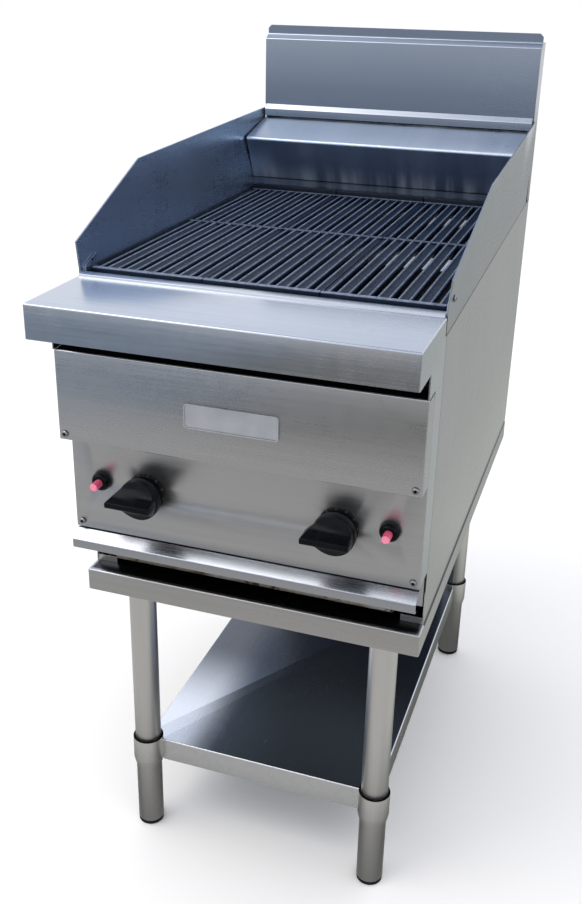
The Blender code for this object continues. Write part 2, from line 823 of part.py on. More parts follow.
def make_riser_front():
    """Backsplash: tall face, joggled foot and a lip standing above the face."""
    lip_depth = RISER_FACE + RISER_LIP_BACK
    foot_depth = RISER_FACE - 0.0065
    profile = [
        (foot_depth, 0.986),
        (foot_depth, 0.9975),
        (RISER_FACE, 1.0045),
        (RISER_FACE, RISER_TOP),
        (lip_depth, RISER_TOP + 0.0065),
        (lip_depth, RISER_LIP_TOP),
    ]
    riser = folded("riser_front", profile, HALF, STEEL)
    corner = 0.005
    for side, sign in SIDES:
        end = box(
            f"riser_foot_trim_{side}",
            span(sign, INSIDE_HALF, HALF + 0.01),
            (back(foot_depth - 0.01), back(RISER_FACE + 0.02)),
            (0.97, GUARD_REAR[1] + 0.0005),
        )
        clip = box(f"riser_clip_{side}", (-corner, corner), (-0.01, 0.01), (-corner, corner))
        clip.location = (sign * (HALF + 0.001), back(lip_depth), RISER_LIP_TOP + 0.001)
        clip.rotation_euler.y = math.pi / 4
        cut(riser, end, clip)


def make_riser_back():
    """Rear shell of the riser: back plate with two side returns."""
    top = RISER_TOP + 0.006
    foot = SIDE_TOP_REAR + 0.0008
    shell = box(
        "riser_back",
        (-HALF, HALF),
        (back(BODY_REAR - SHEET), back(BODY_REAR)),
        (foot, top),
        STEEL,
    )
    front = RISER_FACE + SHEET + GAP
    behind_lip = RISER_FACE + RISER_LIP_BACK + SHEET + GAP
    outline = [
        (behind_lip, top),
        (behind_lip, top - 0.0022),
        (front, RISER_TOP - 0.0032),
        (front, GUARD_REAR[1] + 0.001),
        (GUARD_REAR_FOOT + 0.0135, foot),
        (BODY_REAR - OVERLAP, foot),
        (BODY_REAR - OVERLAP, top),
    ]
    for side, sign in SIDES:
        low = HALF - SHEET if sign > 0 else -HALF
        weld(shell, plate(f"riser_return_{side}", outline, "X", low, SHEET))
    lap = box(
        "riser_lap",
        (-0.195, 0.195),
        (back(BODY_REAR - 2 * SHEET - GAP), back(BODY_REAR - SHEET - GAP)),
        (foot - 0.030, foot + 0.030),
    )
    lap_weld = box(
        "riser_lap_weld",
        (-0.195, 0.195),
        (back(BODY_REAR - 2 * SHEET), back(BODY_REAR - SHEET + OVERLAP)),
        (foot + 0.010, foot + 0.029),
    )
    weld(shell, lap, lap_weld)


# ------------------------------------------------------------------ cooking
def half_section(outer):
    """Right half of a bar's cross-section, from its middle or, for a side bar, from outer."""
    top = BAR_TOP_WIDTH / 2
    rim = top - BAR_RIM
    chamfer, drop = BAR_CHAMFER
    return [
        (outer, -BAR_DEPTH),
        (BAR_FOOT_WIDTH / 2, -BAR_DEPTH),
        (top, -0.006),
        (top, -drop),
        (top - chamfer, 0),
        (rim, 0),
        (rim - 0.0015, -TROUGH_DEPTH),
        (outer, -TROUGH_DEPTH),
    ]


def make_grate(label, centre_x):
    """Cast grate: troughed bars, half ones at the sides, between three rails."""
    half = GRATE_WIDTH / 2
    rails = (
        ("front", GRATE_FRONT, GRATE_FRONT + 0.008, GRATE_HEIGHT, 0),
        ("middle", GRATE_MIDDLE - 0.004, GRATE_MIDDLE + 0.004, GRATE_HEIGHT - 0.001, 0.0004),
        ("rear", GRATE_REAR - 0.012, GRATE_REAR, GRATE_HEIGHT, -GRATE_STOP),
    )
    blocks = []
    for end, near, far, depth_below, drop in rails:
        x = (centre_x - half, centre_x + half)
        z = (GRATE_TOP - depth_below, GRATE_TOP - drop)
        finish = CAST if end == "front" else None
        name = f"grate_{label}" if finish else f"grate_{label}_{end}_rail"
        blocks.append(box(name, x, (back(near), back(far)), z, finish))
    right = half_section(0)[1:-1]
    whole = right + [(-u, v) for u, v in reversed(right)]
    middle = (GRATE_BARS - 1) / 2
    places = [(centre_x + (index - middle) * BAR_PITCH, whole) for index in range(GRATE_BARS)]
    side_offset = (GRATE_BARS + 1) / 2 * BAR_PITCH
    side_outer = side_offset - half + OVERLAP
    for sign in (-1, 1):
        points = [(-sign * u, v) for u, v in half_section(side_outer)]
        places.append((centre_x + sign * side_offset, points))
    start = back(GRATE_FRONT + 0.004)
    length = GRATE_REAR - GRATE_FRONT - 0.008
    grate = blocks[0]
    for index, (x, points) in enumerate(places):
        outline = [(x + u, GRATE_TOP + v) for u, v in points]
        weld(grate, plate(f"bar_{label}_{index}", outline, "Y", start, length))
    weld(grate, *blocks[1:])


def make_grate_support():
    """Angle across the firebox under the grates' middle rails."""
    half = FIREBOX_HALF - SHEET - GAP
    top = GRATE_TOP - GRATE_HEIGHT + 0.001 - GAP
    rear = GRATE_MIDDLE + 0.013
    support = box(
        "grate_support",
        (-half, half),
        (back(GRATE_MIDDLE - 0.009), back(rear)),
        (top - 0.002, top),
        STEEL,
    )
    web = box(
        "grate_support_web",
        (-half, half),
        (back(rear - 0.002), back(rear)),
        (top - 0.020, top - 0.002 + OVERLAP),
    )
    weld(support, web)


def make_radiant(side, sign):
    """Roof-shaped radiant over one burner, on the firebox's two ledges."""
    centre = sign * KNOB_X
    section = [(-RADIANT_HALF, RADIANT_Z), (0, RADIANT_Z + RADIANT_RISE), (RADIANT_HALF, RADIANT_Z)]
    thickness = 0.0025
    outline = [(centre + x, z) for x, z in section]
    outline += [(centre + x * (1 - 1.6 * thickness / RADIANT_HALF), max(z - thickness * 1.3, RADIANT_Z))
                for x, z in section[::-1]]
    length = 0.560
    plate(f"radiant_{side}", outline, "Y", back(0.104), length, STEEL)


def make_burner(side, sign):
    """Tube burner, open at its bell-mouthed inlet and closed at the rear."""
    length = BURNER_REAR + 0.015 - BURNER_FRONT
    wall = 0.002
    profile = [
        (0, length),
        (BURNER_RADIUS, length),
        (BURNER_RADIUS, 0.110),
        (0.0115, 0.060),
        (0.0145, 0),
        (0.0120, 0),
        (0.0095, 0.060),
        (BURNER_RADIUS - wall, 0.110),
        (BURNER_RADIUS - wall, length - wall),
        (0, length - wall),
    ]
    base = (sign * KNOB_X, back(BURNER_FRONT), BURNER_Z)
    turned(f"burner_{side}", profile, base, (0, 1, 0), DARK_STEEL, sides=20)


# ----------------------------------------------------------------- gas train
def make_manifold():
    """Gas rail under the two valves."""
    cylinder(
        "gas_manifold",
        (-0.200, back(MANIFOLD_Y), MANIFOLD_Z),
        (1, 0, 0),
        MANIFOLD_RADIUS,
        0.200 + SUPPLY_X - 0.030,
        BRASS,
        sides=20,
    )


def make_supply_pipe():
    """Pipe from the manifold's right end, round a bend, to the rear inlet."""
    bend = 0.025
    start_x = SUPPLY_X - 0.030 + GAP
    centre = Vector((SUPPLY_X - bend, MANIFOLD_Y + bend))
    points = [(start_x, MANIFOLD_Y)]
    steps = 6
    for step in range(steps + 1):
        angle = math.radians(-90 + 90 * step / steps)
        points.append((centre.x + bend * math.cos(angle), centre.y + bend * math.sin(angle)))
    points.append((SUPPLY_X, BODY_REAR - 0.0005))
    curve = bpy.data.curves.new("gas_supply_pipe", "CURVE")
    curve.dimensions = "3D"
    curve.bevel_depth = SUPPLY_RADIUS
    curve.bevel_resolution = 3
    curve.use_fill_caps = True
    spline = curve.splines.new("POLY")
    spline.points.add(len(points) - 1)
    for point, (x, depth) in zip(spline.points, points):
        point.co = (x, back(depth), MANIFOLD_Z, 1)
    path = bpy.data.objects.new("gas_supply_pipe", curve)
    pipe = solid_from_curve("gas_supply_pipe", path, Matrix(), BRASS)
    smooth(pipe)


def make_valve(side, sign):
    """Valve body on the manifold, with its bore and its outlet to the burner."""
    x = sign * KNOB_X
    front = 0.034
    length = 0.048
    nose = (x, back(front), KNOB_Z)
    body = cylinder(f"valve_body_{side}", nose, (0, 1, 0), VALVE_RADIUS, length, BRASS, sides=20)
    tail_length = KNOB_Z - MANIFOLD_Z - MANIFOLD_RADIUS - GAP
    tail = cylinder(f"valve_tail_{side}", (x, back(MANIFOLD_Y), KNOB_Z - tail_length), (0, 0, 1), 0.007,
                    tail_length, sides=16)
    rise = BURNER_Z - KNOB_Z
    foot = (x, back(0.076), KNOB_Z)
    riser = cylinder(f"valve_riser_{side}", foot, (0, 0, 1), 0.0045, rise, sides=12)
    jet = cylinder(f"valve_jet_{side}", (x, back(0.070), BURNER_Z), (0, 1, 0), 0.0062, 0.0145, sides=12)
    weld(body, tail, riser, jet)
    bore = cylinder(f"valve_bore_{side}", (x, back(front - 0.002), KNOB_Z), (0, 1, 0), PLUG_RADIUS + GAP,
                    PLUG_END + GAP - front + 0.002, sides=20)
    cut(body, bore)


def make_plug(side, sign):
    """Plug that turns in the valve body, bored for the spindle and its spring."""
    length = PLUG_END - PLUG_FRONT
    bore = SPINDLE_RADIUS + 0.0004
    floor = PLUG_FLOOR - PLUG_FRONT
    profile = [
        (0, length),
        (PLUG_RADIUS, length),
        (PLUG_RADIUS, 0),
        (bore, 0),
        (bore, floor),
        (0, floor),
    ]
    place = (sign * KNOB_X, back(PLUG_FRONT), KNOB_Z)
    turned(f"valve_plug_{side}", profile, place, (0, 1, 0), BRASS, sides=20)


def make_spindle(side, sign):
    cylinder(
        f"valve_spindle_{side}",
        (sign * KNOB_X, back(SPINDLE_FRONT), KNOB_Z),
        (0, 1, 0),
        SPINDLE_RADIUS,
        SPINDLE_END - SPINDLE_FRONT,
        STEEL,
        sides=16,
    )


def make_spring(side, sign):
    """Return spring between the spindle's end and the floor of the plug."""
    turns = 5
    per_turn = 7
    wire = 0.0004
    radius = 0.0026
    start = SPINDLE_END + GAP + wire
    length = PLUG_FLOOR - GAP - wire - start
    curve = bpy.data.curves.new(f"knob_spring_{side}", "CURVE")
    curve.dimensions = "3D"
    curve.bevel_depth = wire
    curve.bevel_resolution = 1
    curve.use_fill_caps = True
    spline = curve.splines.new("POLY")
    count = turns * per_turn + 1
    spline.points.add(count - 1)
    for index, point in enumerate(spline.points):
        angle = 2 * math.pi * index / per_turn
        along = start + length * index / (count - 1)
        point.co = (
            sign * KNOB_X + radius * math.cos(angle),
            back(along),
            KNOB_Z + radius * math.sin(angle),
            1,
        )
    path = bpy.data.objects.new(f"knob_spring_{side}", curve)
    solid_from_curve(f"knob_spring_{side}", path, Matrix(), STEEL)


def make_bezel(side, sign):
    """Fixed black disc on the control panel behind the knob."""
    front = 0.0248
    rear = CONTROL_FACE - GAP
    thickness = rear - front
    profile = [
        (0.0100, thickness),
        (BEZEL_RADIUS, thickness),
        (BEZEL_RADIUS, 0.0012),
        (BEZEL_RADIUS - 0.0012, 0),
        (0.0100, 0),
    ]
    place = (sign * KNOB_X, back(front), KNOB_Z)
    turned(f"knob_bezel_{side}", profile, place, (0, 1, 0), BLACK, 28, closed=True)


def pointer_outline(x, z):
    """Knob seen from the front: a circle drawn out to a blunt tip on the left."""
    points = [(x - KNOB_REACH, z + KNOB_TIP), (x - KNOB_REACH, z - KNOB_TIP)]
    steps = 14
    for step in range(steps + 1):
        angle = math.radians(225 + 270 * step / steps)
        points.append((x + KNOB_SKIRT * math.cos(angle), z + KNOB_SKIRT * math.sin(angle)))
    return points


def make_knob(side, sign):
    """Knob: round skirt on a hub, a ridged grip with a pointer, and a spindle bore."""
    x = sign * KNOB_X
    rear = 0.0185
    skirt_rear = 0.0120
    skirt_front = 0.0020
    hub = 0.0120
    profile = [
        (0, rear - skirt_front),
        (KNOB_SKIRT - 0.0015, rear - skirt_front),
        (KNOB_SKIRT, rear - skirt_front - 0.0015),
        (KNOB_SKIRT, rear - skirt_rear),
        (hub, rear - skirt_rear),
        (hub, 0),
        (0, 0),
    ]
    knob = turned(f"knob_{side}", profile, (x, back(rear), KNOB_Z), (0, -1, 0), BLACK, sides=28)
    half_section = [
        (KNOB_FRONT, 0.0034),
        (-0.0140, 0.0052),
        (-0.0060, 0.0095),
        (0.0005, 0.0165),
        (0.0030, 0.0240),
    ]
    section = [(depth, KNOB_Z + rise) for depth, rise in half_section]
    section += [(depth, KNOB_Z - rise) for depth, rise in reversed(half_section)]
    grip = plate(f"knob_grip_{side}", section, "X", x - KNOB_REACH - 0.001, KNOB_REACH + KNOB_SKIRT)
    mask_depth = KNOB_FRONT - 0.001
    outline = pointer_outline(x, KNOB_Z)
    mask = plate(f"knob_mask_{side}", outline, "Y", back(mask_depth), 0.0045 - mask_depth)
    boolean(grip, "INTERSECT", [mask])
    weld(knob, grip)
    bore_length = rear - SPINDLE_FRONT + GAP + 0.001
    bore = cylinder(f"knob_bore_{side}", (x, back(rear + 0.001), KNOB_Z), (0, -1, 0), SPINDLE_RADIUS + GAP,
                    bore_length, sides=16)
    cut(knob, bore)


def make_igniter_body(side, sign):
    """Piezo igniter: bezel in front of the panel, barrel behind it."""
    front = 0.0195
    bezel_rear = CONTROL_FACE - GAP - front
    end = 0.064
    bore = BUTTON_RADIUS + GAP
    floor = 0.031
    profile = [
        (0, end),
        (0.0090, end),
        (0.0090, bezel_rear),
        (IGNITER_BEZEL, bezel_rear),
        (IGNITER_BEZEL, 0.0040),
        (IGNITER_BEZEL - 0.0030, 0),
        (bore, 0),
        (bore, floor),
        (0, floor),
    ]
    base = (sign * IGNITER_X, back(front), IGNITER_Z)
    turned(f"igniter_body_{side}", profile, base, (0, 1, 0), BLACK, sides=24)


def make_igniter_button(side, sign):
    length = 0.036
    profile = [
        (0, length),
        (BUTTON_RADIUS, length),
        (BUTTON_RADIUS, 0.0008),
        (BUTTON_RADIUS - 0.0008, 0),
        (0, 0),
    ]
    base = (sign * IGNITER_X, back(BUTTON_FRONT), IGNITER_Z)
    turned(f"igniter_button_{side}", profile, base, (0, 1, 0), RED, sides=20)


def make_pilot(side, sign):
    """Pilot burner and spark electrode on a bracket beside the burner."""
    x = sign * (KNOB_X - 0.030)
    rail_top = BURNER_Z - BURNER_RADIUS - GAP
    foot = rail_top + GAP
    bracket = box(
        f"pilot_{side}",
        (x - 0.008, x + 0.008),
        (back(0.099), back(0.116)),
        (foot, foot + 0.002),
        BRASS,
    )
    low = foot + 0.001
    seat = (x - 0.003, back(0.108), low)
    burner = cylinder(f"pilot_tube_{side}", seat, (0, 0, 1), 0.0035, 0.026, sides=12)
    tip = (x + 0.005, back(0.108), low)
    electrode = cylinder(f"pilot_pin_{side}", tip, (0, 0, 1), 0.0014, 0.030, sides=8)
    weld(bracket, burner, electrode)


# ----------------------------------------------------------------- drip tray
def make_drip_tray():
    """Pull-out pan hung on the runners by its side hems, with a full-width lip."""
    tray = pan(
        "drip_tray",
        (-TRAY_HALF, TRAY_HALF),
        (back(TRAY_FRONT), back(TRAY_REAR)),
        (TRAY_BOTTOM, TRAY_TOP),
        [(0, 0, 1)],
        TRAY,
    )
    for side, sign in SIDES:
        hem = box(
            f"tray_hem_{side}",
            span(sign, TRAY_HALF - SHEET + OVERLAP, 0.2085),
            (back(TRAY_FRONT + OVERLAP), back(TRAY_REAR - OVERLAP)),
            (RUNNER_TOP + GAP, TRAY_TOP - 0.0001),
        )
        weld(tray, hem)
    lip_profile = [
        (LIP_EDGE[0] + 0.006, LIP_BOTTOM),
        (LIP_EDGE[0], LIP_BOTTOM),
        LIP_EDGE,
        (CONTROL_FACE, LIP_TOP),
        (TRAY_FRONT + OVERLAP, LIP_TOP),
        (TRAY_FRONT + OVERLAP, 0.500),
    ]
    weld(tray, folded("tray_lip", lip_profile, HALF - 0.0005))


# -------------------------------------------------------------------- screws
def make_screw(name, seat, axis, length):
    """Pan-head screw: seat is the point under its head, axis the way it goes in."""
    profile = [
        (0, HEAD_HEIGHT),
        (HEAD_RADIUS * 0.6, HEAD_HEIGHT),
        (HEAD_RADIUS, HEAD_HEIGHT * 0.45),
        (HEAD_RADIUS, 0),
        (SCREW_RADIUS, 0),
        (SCREW_RADIUS, -length),
        (0, -length),
    ]
    outward = Vector(axis) * -1
    turned(name, profile, Vector(seat) + outward * GAP, outward, SCREW, sides=16)


# --------------------------------------------------------------------- build
clear_scene()
parts = make_collection("chargrill")
tools = make_collection("tools")

STEEL = make_material("brushed stainless", (0.58, 0.58, 0.57), 0.32, 1.0)
TUBE = make_material("stainless tube", (0.60, 0.58, 0.55), 0.35, 1.0)
DARK_STEEL = make_material("heat-darkened stainless", (0.22, 0.22, 0.24), 0.40, 1.0)
CAST = make_material("seasoned cast iron", (0.035, 0.038, 0.045), 0.50, 0.6)
BLACK = make_material("black plastic", (0.012, 0.013, 0.015), 0.40, 0.0)
RED = make_material("faded red plastic", (0.75, 0.16, 0.24), 0.45, 0.0)
LIGHT = make_material("satin aluminium", (0.72, 0.73, 0.75), 0.35, 1.0)
BRASS = make_material("brass", (0.60, 0.45, 0.20), 0.35, 1.0)
TRAY = make_material("stained steel", (0.10, 0.07, 0.05), 0.55, 0.7)
SCREW = make_material("plated screw", (0.45, 0.45, 0.45), 0.30, 1.0)

make_stand_top()
for place, x, depth in LEG_PLACES:
    make_leg(place, x, depth)
    make_foot(place, x, depth)
make_undershelf()

make_chassis_rear()
make_firebox()
make_burner_rail("front", 0.095)
make_burner_rail("rear", 0.625)
make_front_ledge()
make_control_panel()
make_upper_panel()
make_badge()
make_flue_hood()
make_riser_front()
make_riser_back()
for index, label in enumerate(("left", "centre", "right")):
    make_grate(label, (index - 1) * (GRATE_WIDTH + GRATE_SPACE))
make_grate_support()
make_manifold()
make_supply_pipe()
make_drip_tray()

for side, sign in SIDES:
    make_chassis_side(side, sign)
    make_guard(side, sign)
    make_radiant(side, sign)
    make_burner(side, sign)
    make_valve(side, sign)
    make_plug(side, sign)
    make_spindle(side, sign)
    make_spring(side, sign)
    make_bezel(side, sign)
    make_knob(side, sign)
    make_igniter_body(side, sign)
    make_igniter_button(side, sign)
    make_pilot(side, sign)
    screw_x = sign * FRONT_SCREW_X
    upper_seat = (screw_x, back(0), UPPER_SCREW_Z)
    make_screw(f"upper_panel_screw_{side}", upper_seat, (0, 1, 0), 0.036)
    control_seat = (screw_x, back(CONTROL_FACE), CONTROL_SCREW_Z)
    make_screw(f"control_panel_screw_{side}", control_seat, (0, 1, 0), 0.010)
    guard_face = HALF + splay(GUARD_SCREW_DEPTH, GUARD_SCREW_Z) + 0.0002
    guard_seat = (sign * guard_face, back(GUARD_SCREW_DEPTH), GUARD_SCREW_Z)
    make_screw(f"guard_screw_{side}", guard_seat, (-sign, 0, 0), 0.0052)
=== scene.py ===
"""Looks of the gas chargrill: finer visible pieces, materials, camera and light."""

import math

import bmesh
import bpy
from mathutils import Matrix, Vector


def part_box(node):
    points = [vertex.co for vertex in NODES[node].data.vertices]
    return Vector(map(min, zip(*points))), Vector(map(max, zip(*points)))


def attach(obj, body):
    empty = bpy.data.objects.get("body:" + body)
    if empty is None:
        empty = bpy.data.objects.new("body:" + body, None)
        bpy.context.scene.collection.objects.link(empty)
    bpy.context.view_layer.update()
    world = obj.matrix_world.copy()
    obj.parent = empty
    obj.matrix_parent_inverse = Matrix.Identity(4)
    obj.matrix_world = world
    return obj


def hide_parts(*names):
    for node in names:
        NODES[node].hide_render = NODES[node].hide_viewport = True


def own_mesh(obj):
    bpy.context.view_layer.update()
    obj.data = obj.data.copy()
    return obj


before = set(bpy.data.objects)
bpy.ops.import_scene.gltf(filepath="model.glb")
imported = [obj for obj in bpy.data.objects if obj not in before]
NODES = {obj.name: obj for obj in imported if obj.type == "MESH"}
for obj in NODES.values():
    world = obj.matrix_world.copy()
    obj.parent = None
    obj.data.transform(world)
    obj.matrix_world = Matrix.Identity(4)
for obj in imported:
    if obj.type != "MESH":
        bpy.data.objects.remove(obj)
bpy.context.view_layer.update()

# ---------------------------------------------------------------- dimensions
FACE_Y = -0.366          # the upper front panel's face, from which depths count
HALF = 0.2285            # of the body's width
SHEET = 0.0015
GAP = 0.0003
FOLD = 0.0022            # outside radius of a fold
INSIDE_HALF = HALF - 0.002 - GAP
WELD = 0.00001           # vertices closer than this are one
LEG_X = 0.175
LEG_RADIUS = 0.01905
LEG_DEPTHS = (("front", 0.101), ("rear", 0.704))
STAND_TOP = 0.463
SHELF_TOP = 0.1507
SHELF_SKIRT = 0.036
LEDGE_TOP = 0.867
UPPER_TOP = 0.794        # upper front panel
CONTROL_FACE = 0.0285    # lower front panel
CONTROL_BOTTOM = 0.541
SIDE_FRONT = 0.0745      # side panels: their front edge and their top, which rises rearwards
SIDE_TOP = 0.845
SIDE_SLOPE = (0.868 - SIDE_TOP) / 0.7165
RISER_FACE = 0.739
RISER_TOP = 1.1315
GRATE_TOP = 0.873
GRATE_FOOT = 0.8492
GRATE_WIDTH = 0.1474
GRATE_PITCH = 0.0241
GRATE_FRONT = 0.092
GRATE_MIDDLE = 0.393
GRATE_REAR = 0.674
KNOB_X = 0.126
KNOB_Z = 0.607
IGNITER_X = 0.1885
IGNITER_Z = 0.613
BADGE_Z = 0.7343
SCREW_X = 0.2205
SIDES = (("left", -1), ("right", 1))
BODY = "chargrill"
# Near black of the painted shade in seams and gaps between parts.
PAINTED_SEAM_SHADE = (0.015, 0.015, 0.015)


def back(depth):
    """Y coordinate of a depth counted from the upper front panel's face."""
    return FACE_Y + depth


def mirrored(sign, inner, outer):
    """Range in X between two distances from the middle, on the side of that sign."""
    return sorted((sign * inner, sign * outer))


def added(name, data):
    """A new object in the scene."""
    obj = bpy.data.objects.new(name, data)
    bpy.context.scene.collection.objects.link(obj)
    return obj


# ------------------------------------------------------------- node materials
class Nodes:
    """A material's node tree, with short ways to add to it."""

    def __init__(self, name, metal=0.0, colour=(0.5, 0.5, 0.5), rough=0.5):
        self.material = bpy.data.materials.new(name)
        self.material.use_nodes = True
        self.tree = self.material.node_tree
        self.shader = self.tree.nodes["Principled BSDF"]
        self.tune("Base Color", (*colour, 1))
        self.tune("Roughness", rough)
        self.tune("Metallic", metal)
        self.place = self.add("ShaderNodeTexCoord").outputs["Object"]

    def add(self, kind, **values):
        node = self.tree.nodes.new(kind)
        for name, value in values.items():
            setattr(node, name, value)
        return node

    def set(self, socket, value):
        if isinstance(value, bpy.types.NodeSocket):
            self.tree.links.new(value, socket)
        else:
            socket.default_value = value

    def tune(self, name, value):
        self.set(self.shader.inputs[name], value)

    def stretched(self, scale, offset=(0, 0, 0)):
        node = self.add("ShaderNodeMapping")
        self.set(node.inputs["Vector"], self.place)
        node.inputs["Scale"].default_value = scale
        node.inputs["Location"].default_value = offset
        return node.outputs["Vector"]

    def noise(self, where, scale=1.0, detail=3.0, rough=0.55):
        node = self.add("ShaderNodeTexNoise")
        self.set(node.inputs["Vector"], where)
        node.inputs["Scale"].default_value = scale
        node.inputs["Detail"].default_value = detail
        node.inputs["Roughness"].default_value = rough
        return node.outputs["Fac"]

    def span(self, value, low, high, to_low=0.0, to_high=1.0, smooth=False):
        """Value rescaled from low..high to to_low..to_high, and held beyond them."""
        kind = "SMOOTHSTEP" if smooth else "LINEAR"
        node = self.add("ShaderNodeMapRange", interpolation_type=kind)
        self.set(node.inputs["Value"], value)
        node.inputs["From Min"].default_value = low
        node.inputs["From Max"].default_value = high
        node.inputs["To Min"].default_value = to_low
        node.inputs["To Max"].default_value = to_high
        return node.outputs["Result"]

    def math(self, operation, a, b=0.0):
        node = self.add("ShaderNodeMath", operation=operation)
        self.set(node.inputs[0], a)
        self.set(node.inputs[1], b)
        return node.outputs[0]

    def plus(self, first, *others):
        for other in others:
            first = self.math("ADD", first, other)
        return first

    def minus(self, a, b):
        return self.math("SUBTRACT", a, b)

    def times(self, first, *others):
        for other in others:
            first = self.math("MULTIPLY", first, other)
        return first

    def positive(self, value):
        return self.math("ABSOLUTE", value)

    def mix(self, amount, a, b):
        node = self.add("ShaderNodeMix", data_type="RGBA")
        self.set(node.inputs[0], amount)
        self.set(node.inputs[6], a if isinstance(a, bpy.types.NodeSocket) else (*a, 1))
        self.set(node.inputs[7], b if isinstance(b, bpy.types.NodeSocket) else (*b, 1))
        return node.outputs[2]

    def component(self, vector, name):
        node = self.add("ShaderNodeSeparateXYZ")
        self.set(node.inputs[0], vector)
        return node.outputs[name]

    def axis(self, name):
        """A place in the piece's own coordinates."""
        return self.component(self.place, name)

    def spot(self, name):
        """A place in the row frame, for CAD nodes, whose own origins differ."""
        return self.component(self.add("ShaderNodeNewGeometry").outputs["Position"], name)

    def facing(self, name):
        return self.component(self.add("ShaderNodeNewGeometry").outputs["Normal"], name)

    def bump(self, height, strength, distance):
        node = self.add("ShaderNodeBump")
        self.set(node.inputs["Height"], height)
        node.inputs["Strength"].default_value = strength
        node.inputs["Distance"].default_value = distance
        return node.outputs["Normal"]

    def wear(self, colour, rough, normal):
        self.tune("Base Color", colour)
        self.tune("Roughness", rough)
        self.tune("Normal", normal)
        return self.material


def scaled(colour, factor):
    return tuple(c * factor for c in colour)


def steel(name, colour, rough, grain, grain_depth=0.05, seed=0.0, tint=None):
    """Brushed stainless: grain along one axis, hand smudges and duller patches."""
    n = Nodes(name, 1.0)
    smudge = 0.05
    fine = [620.0, 620.0, 620.0]
    broad = [120.0, 120.0, 120.0]
    fine["XYZ".index(grain)] = 6.0
    broad["XYZ".index(grain)] = 1.5
    fine_grain = n.noise(n.stretched(fine, (seed, seed, seed)), detail=2.0)
    broad_grain = n.noise(n.stretched(broad, (seed + 3, seed, seed)), detail=2.0)
    whole = (1, 1, 1)
    cloud = n.noise(n.stretched(whole, (seed, 2 * seed, seed)), 4.0, 4.0, 0.5)
    spots = n.noise(n.stretched(whole, (seed, seed, 5)), 60.0, 3.0, 0.5)
    grain_mix = n.plus(n.times(fine_grain, 0.5), n.times(broad_grain, 0.5))
    darker, lighter = scaled(colour, 1 - grain_depth), scaled(colour, 1 + grain_depth)
    tone = n.mix(n.span(grain_mix, 0.30, 0.70), darker, lighter)
    tone = n.mix(n.span(cloud, 0.35, 0.70, 0.0, smudge * 2.0), tone, scaled(colour, 0.72))
    if tint is not None:
        tone = tint(n, tone)
    gloss = n.span(cloud, 0.30, 0.70, rough - smudge * 0.5, rough + smudge * 0.6)
    gloss = n.plus(gloss, n.span(spots, 0.35, 0.7, -0.01, 0.015))
    gloss = n.plus(gloss, n.span(fine_grain, 0.3, 0.7, -0.02, 0.03))
    return n.wear(tone, gloss, n.bump(grain_mix, 0.008, 0.0006))


def make_hood_steel():
    """Thin polished sheet behind the grates: soot, grease runs and blued steel; pale streaks and a
    pale lower left corner are painted light.
    """
    n = Nodes("hood steel", 1.0)
    runs = n.noise(n.stretched((60.0, 1.2, 1.2)), detail=3.0)
    wide = n.noise(n.stretched((14.0, 1.0, 1.0), (4, 0, 0)), detail=3.0)
    cloud = n.noise(n.place, scale=9.0, detail=4.0)
    specks = n.noise(n.place, scale=420.0, detail=3.0, rough=0.7)
    height = n.axis("Z")
    wall = n.span(height, 0.957, 0.962, 1.0, 0.0)
    low = n.span(height, 0.882, 0.925, 1.0, 0.0, True)
    grease = n.span(runs, 0.42, 0.66)
    rightward = n.span(n.axis("X"), -0.20, 0.20)
    tone = n.mix(rightward, (0.60, 0.64, 0.68), (0.99, 0.99, 0.99))
    tone = n.mix(n.span(wide, 0.35, 0.70, 0.0, 0.20), tone, (0.42, 0.45, 0.50))
    tone = n.mix(n.span(specks, 0.55, 0.75, 0.0, 0.25), tone, (0.75, 0.78, 0.84))
    wall_tone = n.mix(n.span(wide, 0.35, 0.70), (0.36, 0.45, 0.60), (0.50, 0.60, 0.76))
    # Painted light: a pale lower left corner of the wall and pale streaks down it, where the sheet
    # turns less metallic.
    corner = n.span(n.axis("X"), -0.215, -0.165, 1.0, 0.0, True)
    corner = n.times(corner, n.span(height, 0.893, 0.950, 1.0, 0.0, True))
    streaks = n.times(n.span(runs, 0.36, 0.68, 0.15, 1.0), low)
    lit = n.math("MINIMUM", n.plus(streaks, n.times(corner, 1.6)), 2.0)
    # Painted light: where the grease runs, the wall is whitened into pale streaks.
    wall_tone = n.mix(n.times(grease, low, 0.7), wall_tone, (0.95, 0.97, 1.0))
    n.tune("Metallic", n.span(n.times(lit, wall), 0.0, 1.0, 1.0, 0.62))
    tone = n.mix(wall, tone, wall_tone)
    strip = n.span(height, 0.8915, 0.8925, 1.0, 0.0)
    strip = n.times(strip, n.span(specks, 0.3, 0.7, 0.80, 0.97))
    tone = n.mix(strip, tone, (0.10, 0.13, 0.18))
    gloss = n.plus(n.span(cloud, 0.3, 0.7, 0.26, 0.36), n.times(grease, 0.06))
    return n.wear(tone, gloss, n.bump(runs, 0.02, 0.0006))


